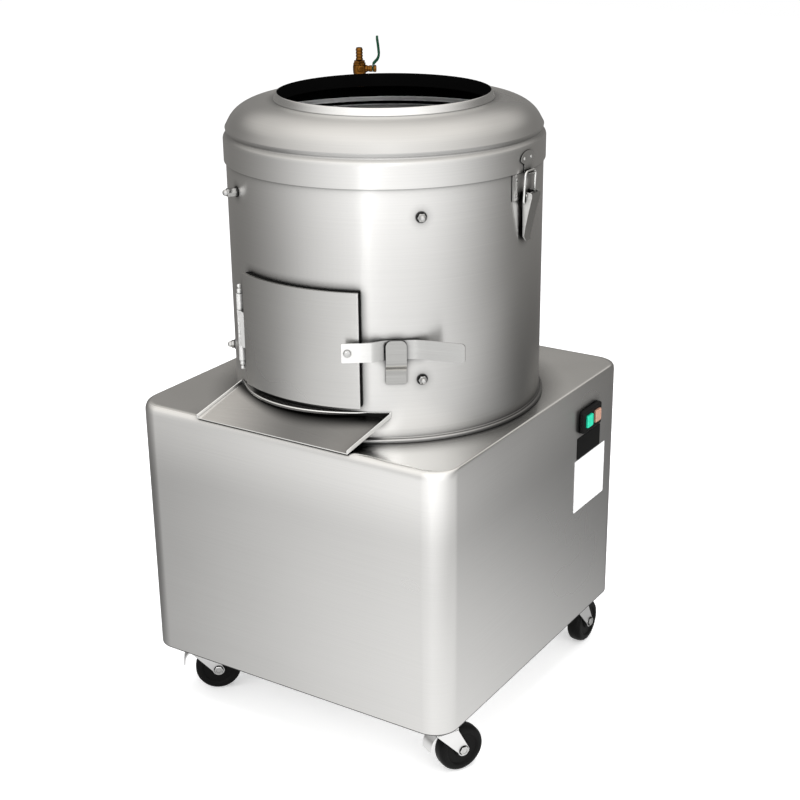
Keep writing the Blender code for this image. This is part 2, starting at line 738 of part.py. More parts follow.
def make_drum(drum):
    inner = DRUM_RADIUS - DRUM_WALL
    ring = DRUM_RADIUS + DRUM_RING
    shell = turned("drum_shell", [
        (inner, DRUM_LOW), (ring, DRUM_LOW), (ring, DRUM_LOW + DRUM_RING_HEIGHT - DRUM_WALL),
        (ring - DRUM_WALL, DRUM_LOW + DRUM_RING_HEIGHT), (DRUM_RADIUS, DRUM_LOW + DRUM_RING_HEIGHT),
        (DRUM_RADIUS, DRUM_TOP), (inner - DRUM_RIM, DRUM_TOP), (inner - DRUM_RIM, DRUM_TOP - DRUM_WALL),
        (inner, DRUM_TOP - DRUM_WALL)])
    combine(shell, "DIFFERENCE", opening_cutter("cut_opening", 0.0))
    seat(shell, "stainless", drum)

    liner_outer = inner - GAP
    low = FLOOR_TOP + LINER_LOW
    high = DRUM_TOP - LINER_DROP
    liner = turned("abrasive_liner", [
        (LINER_INNER, low), (liner_outer, low), (liner_outer, high),
        (LINER_INNER, high)])
    combine(liner, "DIFFERENCE", opening_cutter("cut_liner", LINER_THICKNESS))
    seat(liner, "abrasive", drum)

    floor = turned("drum_floor", [(HOUSING_NECK + GAP, DRUM_LOW), (liner_outer, DRUM_LOW),
                                  (liner_outer, FLOOR_TOP), (HOUSING_NECK + GAP, FLOOR_TOP)])
    drain = rod("cut_floor", DRAIN_RADIUS + GAP, DRUM_LOW - OVERRUN, FLOOR_TOP + OVERRUN, SMALL_STEPS)
    shift(drain, DRAIN_RING * math.cos(DRAIN_ANGLE), DRAIN_RING * math.sin(DRAIN_ANGLE))
    combine(floor, "DIFFERENCE", drain)
    seat(floor, "stainless", drum)


def make_turntable(drum):
    low = FLOOR_TOP + DISC_LIFT
    top = low + DISC_THICKNESS
    bore = SHAFT_RADIUS + GAP
    hub_top = top + DISC_HUB_RISE

    def wavy(radius, share):
        ring = []
        for x, y, _ in circle(radius, 0.0, ROUND_STEPS):
            swell = math.sin(DISC_WAVES * math.atan2(y, x)) * DISC_WAVE * share
            ring.append((x, y, top + swell))
        return ring

    span = DISC_RADIUS - DISC_HUB_RADIUS
    rings = [circle(bore, hub_top, ROUND_STEPS), circle(DISC_HUB_RADIUS - DISC_HUB_RISE, hub_top,
                                                        ROUND_STEPS),
             wavy(DISC_HUB_RADIUS, 0.0), wavy(DISC_HUB_RADIUS + span * 0.35, 0.8),
             wavy(DISC_HUB_RADIUS + span * 0.75, 1.0), wavy(DISC_RADIUS, 0.5),
             circle(DISC_RADIUS, low, ROUND_STEPS), circle(DISC_HUB_RADIUS, low, ROUND_STEPS),
             circle(DISC_HUB_RADIUS - DISC_HUB_RISE, low - DISC_HUB_DROP, ROUND_STEPS),
             circle(bore, low - DISC_HUB_DROP, ROUND_STEPS)]
    seat(loft("abrasive_disc", rings, closed=True), "abrasive", drum)

    shaft_top = FLOOR_TOP + SHAFT_RISE
    shaft = rod("drive_shaft", SHAFT_RADIUS, DECK - SHAFT_LOW, shaft_top, SMALL_STEPS)
    seat(shaft, "bright_steel", drum)

    nut_low = hub_top + GAP
    cap = shaft_top + GAP
    nut_top = max(nut_low + NUT_HEIGHT, cap)
    profile = [(bore, cap), (bore, nut_low), (-NUT_ACROSS, nut_low), (-NUT_ACROSS, nut_low + NUT_HEIGHT),
               (NUT_ACROSS, nut_low + NUT_HEIGHT), (NUT_ACROSS * 0.8, nut_top + NUT_DOME * 0.6),
               (NUT_ACROSS * 0.35, nut_top + NUT_DOME)]
    seat(fitting("disc_nut", profile, False), "bright_steel", drum)

    under = DECK - BASE_SHEET - GAP
    tube_low = under - HOUSING_DROP
    neck = DECK + HOUSING_NECK_RISE
    pocket = BEARING_HEIGHT + GAP
    seat_radius = BEARING_OUTER + GAP
    housing = turned("bearing_housing", [
        (seat_radius, neck), (HOUSING_NECK, neck), (HOUSING_NECK, under), (HOUSING_FLANGE, under),
        (HOUSING_FLANGE, under - HOUSING_FLANGE_THICKNESS), (HOUSING_TUBE,
                                                             under - HOUSING_FLANGE_THICKNESS),
        (HOUSING_TUBE, tube_low), (seat_radius, tube_low), (seat_radius, tube_low + pocket),
        (HOUSING_BORE, tube_low + pocket), (HOUSING_BORE, neck - pocket), (seat_radius, neck - pocket)],
        SMALL_STEPS)
    seat(housing, "cast_iron", drum)
    for name, level in (("lower_bearing", tube_low), ("upper_bearing", neck - BEARING_HEIGHT)):
        bearing = turned(name, [(bore, level), (BEARING_OUTER, level), (BEARING_OUTER,
                                                                        level + BEARING_HEIGHT),
                                (bore, level + BEARING_HEIGHT)], SMALL_STEPS)
        seat(bearing, "bright_steel", drum)


# Outline of a grooved pulley about its own axis, from the hub round the rim and back
def pulley_profile(radius, bore, level):
    half = PULLEY_WIDTH / 2
    floor = radius - BELT_RECESS - BELT_HEIGHT - BELT_CLEARANCE
    outer_half = BELT_OUTER_WIDTH / 2 + GAP * 2
    inner_half = BELT_INNER_WIDTH / 2 + GAP * 2
    web = PULLEY_WEB / 2
    rim = radius - PULLEY_RIM
    profile = [(bore, level - half), (PULLEY_HUB, level - half)]
    if rim > PULLEY_HUB + PULLEY_RIM:
        profile += [(PULLEY_HUB, level - web), (rim, level - web), (rim, level - half)]
    profile += [(radius, level - half), (radius, level - outer_half), (floor, level - inner_half),
                (floor, level + inner_half), (radius, level + outer_half), (radius, level + half)]
    if rim > PULLEY_HUB + PULLEY_RIM:
        profile += [(rim, level + half), (rim, level + web), (PULLEY_HUB, level + web)]
    profile += [(PULLEY_HUB, level + half), (bore, level + half)]
    return profile


# The belt follows both pulleys: two arcs joined by the outer tangents
def make_belt(drum, reach_x, reach_y):
    distance = math.hypot(reach_x, reach_y)
    heading = math.atan2(reach_y, reach_x)
    lean = math.acos((PULLEY_RADIUS - MOTOR_PULLEY_RADIUS) / distance)
    arcs = ((0.0, PULLEY_RADIUS, lean, math.tau - lean, BEND_STEPS * 3),
            (distance, MOTOR_PULLEY_RADIUS, -lean, lean, BEND_STEPS))
    rings = []
    outer_half, inner_half = BELT_OUTER_WIDTH / 2, BELT_INNER_WIDTH / 2
    for along, radius, start, end, steps in arcs:
        outer = radius - BELT_RECESS
        for k in range(steps + 1):
            angle = start + (end - start) * k / steps
            ring = []
            for reach, level in ((outer, outer_half), (outer, -outer_half),
                                 (outer - BELT_HEIGHT, -inner_half), (outer - BELT_HEIGHT, inner_half)):
                ring.append((along + reach * math.cos(angle), reach * math.sin(angle),
                             PULLEY_LEVEL + level))
            rings.append(ring)
    belt = tip(loft("drive_belt", rings, closed=True), heading, "Z")
    seat(belt, "black_rubber", drum)


def make_drive(base, drum):
    large = turned("large_pulley", pulley_profile(PULLEY_RADIUS, SHAFT_RADIUS + GAP, PULLEY_LEVEL),
                   PULLEY_STEPS)
    seat(large, "cast_iron", drum)
    reach_x = MOTOR_OFFSET_X - DRUM_OFFSET_X
    reach_y = MOTOR_OFFSET_Y - DRUM_OFFSET_Y
    make_belt(drum, reach_x, reach_y)

    motor_axis = empty("motor_axis", MOTOR_OFFSET_X, MOTOR_OFFSET_Y, parent=base)
    small = turned("motor_pulley", pulley_profile(MOTOR_PULLEY_RADIUS, MOTOR_SHAFT_RADIUS + GAP,
                                                  PULLEY_LEVEL),
                   SMALL_STEPS)
    seat(small, "cast_iron", motor_axis)

    rings = []
    steps = ROUND_STEPS
    levels = ((MOTOR_LOW, False), (MOTOR_LOW + MOTOR_BELL, False), (MOTOR_LOW + MOTOR_BELL, True),
              (MOTOR_TOP - MOTOR_BELL, True), (MOTOR_TOP - MOTOR_BELL, False), (MOTOR_TOP, False))
    for level, finned in levels:
        ring = []
        for k, (x, y, z) in enumerate(circle(MOTOR_RADIUS - MOTOR_FIN, level, steps)):
            reach = MOTOR_RADIUS / (MOTOR_RADIUS - MOTOR_FIN) if finned and k % 4 < 2 else 1.0
            ring.append((x * reach, y * reach, z))
        rings.append(ring)
    motor = loft("motor", rings)
    box = block("join_box", (-MOTOR_BOX, -MOTOR_RADIUS - MOTOR_BOX_REACH,
                             MOTOR_LOW + MOTOR_BELL + MOTOR_BOX),
                (MOTOR_BOX, 0.0, MOTOR_TOP - MOTOR_BELL - MOTOR_BOX / 2))
    combine(motor, "UNION", box)
    bore = rod("cut_motor", MOTOR_SHAFT_RADIUS + GAP, MOTOR_TOP - MOTOR_SHAFT_GRIP - GAP,
               MOTOR_TOP + OVERRUN,
               SMALL_STEPS)
    combine(motor, "DIFFERENCE", bore)
    seat(motor, "motor_paint", motor_axis)
    shaft = rod("motor_shaft", MOTOR_SHAFT_RADIUS, MOTOR_TOP - MOTOR_SHAFT_GRIP,
                PULLEY_LEVEL + PULLEY_WIDTH / 2,
                SMALL_STEPS)
    seat(shaft, "bright_steel", motor_axis)

    sheet = BRACKET_SHEET
    outline = [(-BRACKET_HALF - BRACKET_FOOT, SHELF_LOW), (-BRACKET_HALF + sheet, SHELF_LOW),
               (-BRACKET_HALF + sheet, SHELF_TOP - sheet), (BRACKET_HALF - sheet, SHELF_TOP - sheet),
               (BRACKET_HALF - sheet, SHELF_LOW), (BRACKET_HALF + BRACKET_FOOT, SHELF_LOW),
               (BRACKET_HALF + BRACKET_FOOT, SHELF_LOW + sheet), (BRACKET_HALF, SHELF_LOW + sheet),
               (BRACKET_HALF, SHELF_TOP), (-BRACKET_HALF, SHELF_TOP), (-BRACKET_HALF, SHELF_LOW + sheet),
               (-BRACKET_HALF - BRACKET_FOOT, SHELF_LOW + sheet)]
    bracket = prism("motor_bracket", outline, -BRACKET_HALF, BRACKET_HALF, along="Y")
    seat(bracket, "zinc", motor_axis)


def dome_point(share):
    angle = math.pi / 2 * share
    side = math.cos(angle) ** DOME_SIDE_POWER if share < 1 else 0.0
    rise = math.sin(angle) ** DOME_TOP_POWER
    return (DOME_MOUTH + (DOME_RADIUS - DOME_MOUTH) * side,
            DRUM_TOP - DOME_START + (DOME_RISE + DOME_START) * rise)


# Offsets an open profile towards the axis by one sheet
def inward(profile, sheet):
    moved = []
    for k, (radius, level) in enumerate(profile):
        before = profile[max(k - 1, 0)]
        after = profile[min(k + 1, len(profile) - 1)]
        run = Vector((after[0] - before[0], after[1] - before[1])).normalized()
        moved.append((radius - run.y * sheet, level + run.x * sheet))
    return moved


def make_lid(drum):
    shoulder = DRUM_TOP - BAND_SHOULDER
    foot_level = DRUM_TOP + DOME_FOOT_RISE
    profile = [(BAND_RADIUS, DRUM_TOP - BAND_DROP), (BAND_RADIUS, shoulder),
               (BAND_RADIUS - SHOULDER_STEP, DRUM_TOP), (DRUM_RADIUS, DRUM_TOP + SHOULDER_RISE),
               (GROOVE_RADIUS, DRUM_TOP + GROOVE_RISE), (DOME_FOOT, foot_level)]
    first = 0.22
    profile += [dome_point(first + (1 - first) * (k / DOME_STEPS)) for k in range(1, DOME_STEPS)]
    profile.append((COLLAR_TOP, DRUM_TOP + DOME_RISE))
    hood = turned("lid_hood", profile + inward(profile, LID_SHEET)[::-1])
    nipple_cut = shift(rod("cut_nipple", NIPPLE_RADIUS + GAP, DRUM_TOP, DRUM_TOP + DOME_RISE + OVERRUN,
                           TINY_STEPS),
                       VALVE_RADIUS * math.cos(VALVE_ANGLE), VALVE_RADIUS * math.sin(VALVE_ANGLE))
    combine(hood, "DIFFERENCE", nipple_cut)
    seat(hood, "stainless", drum)

    low = DRUM_TOP + DOME_RISE + GAP
    leg = COLLAR_BORE + COLLAR_SHEET
    collar = turned("mouth_collar", [
        (COLLAR_FOOT, low), (COLLAR_TOP, low + COLLAR_HEIGHT), (COLLAR_BORE, low + COLLAR_HEIGHT),
        (COLLAR_BORE, low - COLLAR_LEG), (leg, low - COLLAR_LEG), (leg, low)])
    seat(collar, "stainless", drum)


def make_door(drum):
    low = DECK + DOOR_LOW
    high = low + DOOR_HEIGHT
    hinge = (HINGE_RADIUS, 0.0, 0.0)
    end = DOOR_START + DOOR_SWEEP
    panel = arc_block("door_panel", DOOR_INNER, DOOR_OUTER, DOOR_START - HINGE_ANGLE, end - HINGE_ANGLE,
                      low, high)
    seat(panel, "stainless", drum, HINGE_ANGLE, hinge)

    seal_outer = DOOR_INNER - GAP
    seal_inner = DRUM_RADIUS + GAP
    start_angle = DOOR_START - HINGE_ANGLE + LEAF_THICKNESS / DRUM_RADIUS
    end_angle = end - HINGE_ANGLE + SEAL_SHOW_SIDE / DRUM_RADIUS
    wide = SEAL_WIDTH / DRUM_RADIUS
    seal = arc_block("door_seal", seal_inner, seal_outer, start_angle, end_angle, low, high + SEAL_SHOW_TOP)
    hollow = arc_block("cut_seal", seal_inner - OVERRUN, seal_outer + OVERRUN, start_angle + wide,
                       end_angle - wide - SEAL_SHOW_SIDE / DRUM_RADIUS, low + SEAL_WIDTH, high - SEAL_WIDTH)
    combine(seal, "DIFFERENCE", hollow)
    seat(seal, "black_rubber", drum, HINGE_ANGLE, hinge)

    bottom = DECK + HINGE_LOW
    middle = bottom + OUTER_KNUCKLE + GAP
    upper = middle + MIDDLE_KNUCKLE + GAP
    top = upper + OUTER_KNUCKLE
    bore = HINGE_PIN_RADIUS + GAP
    knuckles = []
    for name, start, stop in (("hinge_leaf", bottom, bottom + OUTER_KNUCKLE), ("join_upper", upper, top),
                              ("hinge_knuckle", middle, middle + MIDDLE_KNUCKLE)):
        knuckle = rod(name, KNUCKLE_RADIUS, start, stop, SMALL_STEPS)
        knuckles.append(shift(knuckle, HINGE_RADIUS))
    leaf, upper_knuckle, moving = knuckles
    backing = arc_block("join_leaf", DRUM_RADIUS + GAP, DRUM_RADIUS + GAP + LEAF_THICKNESS,
                        -LEAF_REACH / DRUM_RADIUS, KNUCKLE_RADIUS / DRUM_RADIUS / 3, bottom + GAP,
                        top - GAP,
                        CORNER_STEPS)
    combine(leaf, "UNION", upper_knuckle, backing)
    relief = shift(rod("cut_relief", KNUCKLE_RADIUS + HINGE_STANDOFF + GAP, middle - GAP, upper,
                       SMALL_STEPS),
                   HINGE_RADIUS)
    hole = shift(rod("cut_hole", bore, bottom - OVERRUN, top + OVERRUN, TINY_STEPS), HINGE_RADIUS)
    combine(leaf, "DIFFERENCE", relief, hole)
    seat(leaf, "bright_steel", drum, HINGE_ANGLE)

    tab_end = DOOR_START - HINGE_ANGLE - GAP / DRUM_RADIUS
    tab = arc_block("join_tab", DOOR_INNER, DOOR_OUTER, 0.0, tab_end, middle, middle + MIDDLE_KNUCKLE,
                    CORNER_STEPS)
    combine(moving, "UNION", tab)
    hole = shift(rod("cut_bore", bore, middle - OVERRUN, upper + OVERRUN, TINY_STEPS), HINGE_RADIUS)
    combine(moving, "DIFFERENCE", hole)
    seat(moving, "bright_steel", drum, HINGE_ANGLE, hinge)

    neck = HINGE_PIN_RADIUS * 0.6
    half_neck = FINIAL_LENGTH * 0.3
    tips = [(neck * 0.5, -FINIAL_LENGTH), (FINIAL_RADIUS * 0.7, half_neck - FINIAL_LENGTH),
            (neck, half_neck * 1.5 - FINIAL_LENGTH), (FINIAL_RADIUS, half_neck * 2 - FINIAL_LENGTH),
            (FINIAL_RADIUS, -GAP)]
    profile = [(radius, bottom + level) for radius, level in tips]
    profile += [(HINGE_PIN_RADIUS, bottom - GAP), (HINGE_PIN_RADIUS, top + GAP)]
    profile += [(radius, top - level) for radius, level in tips[::-1]]
    pin = shift(turned("hinge_pin", profile, TINY_STEPS, closed=False), HINGE_RADIUS)
    seat(pin, "bright_steel", drum, HINGE_ANGLE, hinge)


# The strap is laid out in the catch's frame: X points out of the drum, Y along its surface
def make_strap(drum):
    level = DECK + STRAP_LEVEL
    half = STRAP_HEIGHT / 2
    low, high = level - half, level + half
    front = DRUM_RADIUS + STRAP_FRONT
    dip = DRUM_RADIUS + STRAP_DIP
    stations = [(-STRAP_LEFT, front, low, high), (-STRAP_RAMP_START, front, low, high),
                (-STRAP_RAMP_END, dip, low, high), (STRAP_FLARE_START, dip, low, high)]
    slope = (STRAP_FLARE - STRAP_DIP) / (STRAP_RIGHT - STRAP_FLARE_START)
    for share in (0.0, 0.35, 0.7, 1.0):
        back = STRAP_ROUNDING * (1 - share)
        trim = STRAP_ROUNDING * (1 - math.sqrt(max(1 - share * share, 0.0)))
        along = STRAP_RIGHT - back
        stations.append((along, dip + slope * (along - STRAP_FLARE_START), low + trim, high - trim))
    strap = strip("latch_strap", stations, STRAP_THICKNESS, axes=("Y", "X", "Z"))
    bore = tip(rod("cut_pivot", PIVOT_RADIUS + GAP, -OVERRUN, OVERRUN, TINY_STEPS), math.pi / 2, "Y")
    combine(strap, "DIFFERENCE", shift(bore, front, -STRAP_PIVOT, level))
    seat(strap, "stainless", drum, CATCH_ANGLE, (front, -STRAP_PIVOT, level))

    inner = front - STRAP_THICKNESS / 2
    outer = front + STRAP_THICKNESS / 2
    profile = [(PIVOT_HEAD, -DOOR_PROUD * 2), (PIVOT_HEAD, -STRAP_THICKNESS / 2 - GAP),
               (PIVOT_RADIUS, -STRAP_THICKNESS / 2 - GAP), (PIVOT_RADIUS, STRAP_THICKNESS / 2 + GAP),
               (PIVOT_HEAD, STRAP_THICKNESS / 2 + GAP),
               (PIVOT_HEAD * 0.8, STRAP_THICKNESS / 2 + GAP + PIVOT_HEAD_THICKNESS * 0.8),
               (PIVOT_HEAD * 0.4, STRAP_THICKNESS / 2 + GAP + PIVOT_HEAD_THICKNESS)]
    rivet = tip(turned("strap_rivet", profile, TINY_STEPS, closed=False), math.pi / 2, "Y")
    shift(rivet, (inner + outer) / 2, -STRAP_PIVOT, level)
    seat_cut = rod("cut_seat", DOOR_OUTER + GAP, level - STRAP_HEIGHT, level + STRAP_HEIGHT,
                   ROUND_STEPS * 3)
    combine(rivet, "DIFFERENCE", seat_cut)
    seat(rivet, "bright_steel", drum, CATCH_ANGLE)

    half_width = CATCH_WIDTH / 2
    base_level = DECK + CATCH_LOW
    back = DRUM_RADIUS + GAP + CATCH_THICKNESS / 2
    face = DRUM_RADIUS + CATCH_SLOT + CATCH_THICKNESS / 2
    fold = base_level + CATCH_FOLD
    rise = face - back
    stations = [(back, base_level, -half_width, half_width), (back, fold - rise / 2, -half_width,
                                                              half_width),
                (face, fold + rise / 2, -half_width, half_width)]
    for share in (0.0, 0.4, 0.75, 0.95, 1.0):
        level = base_level + CATCH_HEIGHT - CATCH_ROUNDING * (1 - share)
        trim = CATCH_ROUNDING * (1 - math.sqrt(max(1 - share * share, 0.0)))
        stations.append((face, level, trim - half_width, half_width - trim))
    hook = strip("catch_hook", stations, CATCH_THICKNESS)
    seat(hook, "stainless", drum, CATCH_ANGLE)


def make_chute(base):
    rest = -BASE_DEPTH / 2 + CHUTE_SETBACK
    front = min(rest, DRUM_OFFSET_Y - DRUM_RADIUS - CHUTE_REACH)
    radius = DRUM_RADIUS + GAP
    toward_front = Vector((-CHUTE_SHEAR, -1.0)).normalized()

    # one upright section through the sheet, from the front edge up to the drum and round the sill
    def section(angle, height):
        wall = Vector((DRUM_OFFSET_X + radius * math.cos(angle), DRUM_OFFSET_Y + radius * math.sin(angle)))
        edge = (wall.x - CHUTE_SHEAR * (wall.y - front), front)
        turn = (angle - SILL_MIDDLE) / SILL_HALF
        reach = CHUTE_SHEET * 0.8 + SILL_REACH * max(1 - turn * turn, 0.0)
        low, high = DECK - CHUTE_DROP, DECK + CHUTE_RISE
        under = max(DECK + SILL_LOW, high + height + GAP)
        top = max(DECK + SILL_LOW + SILL_HEIGHT, under + CHUTE_SHEET)
        inner, outer = wall + toward_front * CHUTE_SHEET * 0.6, wall + toward_front * reach
        return [(*edge, low), (*edge, low + height), (*inner, high + height), (*outer, under), (*outer, top),
                (*wall, top), (*wall, high)]

    lap_left = CHUTE_SHEET / abs(radius * math.sin(CHUTE_START))
    lap_right = CHUTE_SHEET / abs(radius * math.sin(CHUTE_END))
    first, last = CHUTE_START + lap_left, CHUTE_END - lap_right
    rings = [section(CHUTE_START, CHUTE_LIP), section(first - lap_left / 8, CHUTE_LIP)]
    rings += [section(first + (last - first) * k / CHUTE_STEPS, CHUTE_SHEET) for k in range(CHUTE_STEPS + 1)]
    rings += [section(last + lap_right / 8, CHUTE_LIP), section(CHUTE_END, CHUTE_LIP)]
    seat(loft("discharge_chute", rings), "stainless", base)


def make_latch(drum, suffix, turn):
    plate_in = BAND_RADIUS + GAP
    top = DRUM_TOP - HOOK_TOP
    low = top - HOOK_HEIGHT
    middle = plate_in + HOOK_SHEET / 2
    ledge = plate_in + HOOK_SHEET + HOOK_LEDGE
    stations = [(ledge, low, -HOOK_WAIST, HOOK_WAIST), (middle, low, -HOOK_WAIST, HOOK_WAIST),
                (middle, low + HOOK_HEIGHT * 0.35, -HOOK_WAIST, HOOK_WAIST),
                (middle, low + HOOK_HEIGHT * 0.6, -HOOK_HALF_WIDTH, HOOK_HALF_WIDTH)]
    for share in (0.35, 0.65, 0.88, 0.98):
        wide = HOOK_HALF_WIDTH * math.sqrt(1 - share * share)
        stations.append((middle, low + HOOK_HEIGHT * (0.6 + 0.4 * share), -wide, wide))
    hook = strip("lid_hook_" + suffix, stations, HOOK_SHEET)
    seat(hook, "stainless", drum, turn)

    plate_high = DRUM_TOP - BAND_DROP - CATCH_PLATE_DROP
    plate_low = plate_high - CATCH_PLATE_HEIGHT
    bar_level = low + HOOK_SHEET / 2 + BAIL_WIRE + GAP
    bar_out = (middle + ledge) / 2 + HOOK_SHEET / 2
    end_level = bar_level - BAIL_HEIGHT
    end_out = bar_out - BAIL_LEAN
    pin_level = end_level + LEVER_PIN_RISE
    pin_out = DRUM_RADIUS + LEVER_STANDOFF

    plate_seat = DRUM_RADIUS + GAP
    half_angle = CATCH_PLATE_HALF / DRUM_RADIUS
    plate = arc_block("latch_base_" + suffix, plate_seat, plate_seat + CATCH_PLATE_SHEET, -half_angle,
                      half_angle,
                      plate_low, plate_high, CORNER_STEPS * 2)
    helpers = []
    for side in (-1, 1):
        outline = [(plate_seat + CATCH_PLATE_SHEET / 2, pin_level - EAR_RADIUS)]
        outline += arc_points((pin_out, pin_level), EAR_RADIUS, -math.pi / 2, math.pi / 2, CORNER_STEPS)
        outline.append((plate_seat + CATCH_PLATE_SHEET / 2, pin_level + EAR_RADIUS))
        ends = sorted((side * EAR_OFFSET, side * (EAR_OFFSET + EAR_SHEET)))
        helpers.append(prism("join_ear", outline, ends[0], ends[1], along="Y"))
    pin = tip(rod("join_pin", LEVER_PIN, -LEVER_HALF_WIDTH - GAP, LEVER_HALF_WIDTH + GAP, TINY_STEPS),
              math.pi / 2, "X")
    helpers.append(shift(pin, pin_out, 0.0, pin_level))
    combine(plate, "UNION", *helpers)
    seat(plate, "stainless", drum, turn)

    back = pin_out - LEVER_BACK
    front = back + LEVER_DEPTH
    lever_top = pin_level + LEVER_TOP
    lever_low = lever_top - LEVER_LENGTH
    tip_out = back + LEVER_SHEET
    outline = [(back, lever_top - LEVER_TOP), (back + LEVER_TOP, lever_top), (front - LEVER_TOP / 2,
                                                                              lever_top),
               (front, lever_top - LEVER_TOP / 2), (tip_out + LEVER_SHEET, lever_low),
               (tip_out + LEVER_TAB_FLARE, lever_low - LEVER_TAB),
               (tip_out + LEVER_TAB_FLARE - LEVER_SHEET, lever_low - LEVER_TAB),
               (back, lever_low)]
    lever = prism("latch_lever_" + suffix, outline, -LEVER_HALF_WIDTH, LEVER_HALF_WIDTH, along="Y")
    sheet = LEVER_SHEET
    inside = [(back - OVERRUN, lever_top + OVERRUN), (front - sheet * 1.2, lever_top + OVERRUN),
              (front - sheet * 1.2, lever_top - LEVER_TOP / 2), (tip_out, lever_low + sheet * 2),
              (back - OVERRUN, lever_low + sheet * 2)]
    hollow = prism("cut_lever", inside, -LEVER_HALF_WIDTH + sheet, LEVER_HALF_WIDTH - sheet, along="Y")
    pin_hole = tip(rod("cut_pin", LEVER_PIN + GAP, -LEVER_HALF_WIDTH - OVERRUN,
                       LEVER_HALF_WIDTH + OVERRUN, TINY_STEPS),
                   math.pi / 2, "X")
    bail_hole = tip(rod("cut_bail", BAIL_WIRE + GAP, -LEVER_HALF_WIDTH - OVERRUN,
                        LEVER_HALF_WIDTH + OVERRUN,
                        TINY_STEPS), math.pi / 2, "X")
    combine(lever, "DIFFERENCE", hollow, shift(pin_hole, pin_out, 0.0, pin_level),
            shift(bail_hole, end_out, 0.0, end_level))
    seat(lever, "stainless", drum, turn, (pin_out, 0.0, pin_level))

    side = BAIL_HALF_WIDTH - BAIL_WIRE
    inner_end = LEVER_HALF_WIDTH - LEVER_SHEET
    corner = BAIL_CORNER
    half_path = [(end_out, -inner_end, end_level), (end_out, -side + BAIL_WIRE, end_level),
                 (end_out, -side, end_level + BAIL_WIRE), (bar_out, -side, bar_level - corner)]
    half_path += [(bar_out, b, c) for b, c in
                  arc_points((corner - side, bar_level - corner), corner, math.pi, math.pi / 2,
                             CORNER_STEPS)[1:]]
    path = half_path + [(a, -b, c) for a, b, c in half_path[::-1]]
    bail = sweep("latch_bail_" + suffix, path, BAIL_WIRE, 8)
    seat(bail, "bright_steel", drum, turn, (end_out, 0.0, end_level))


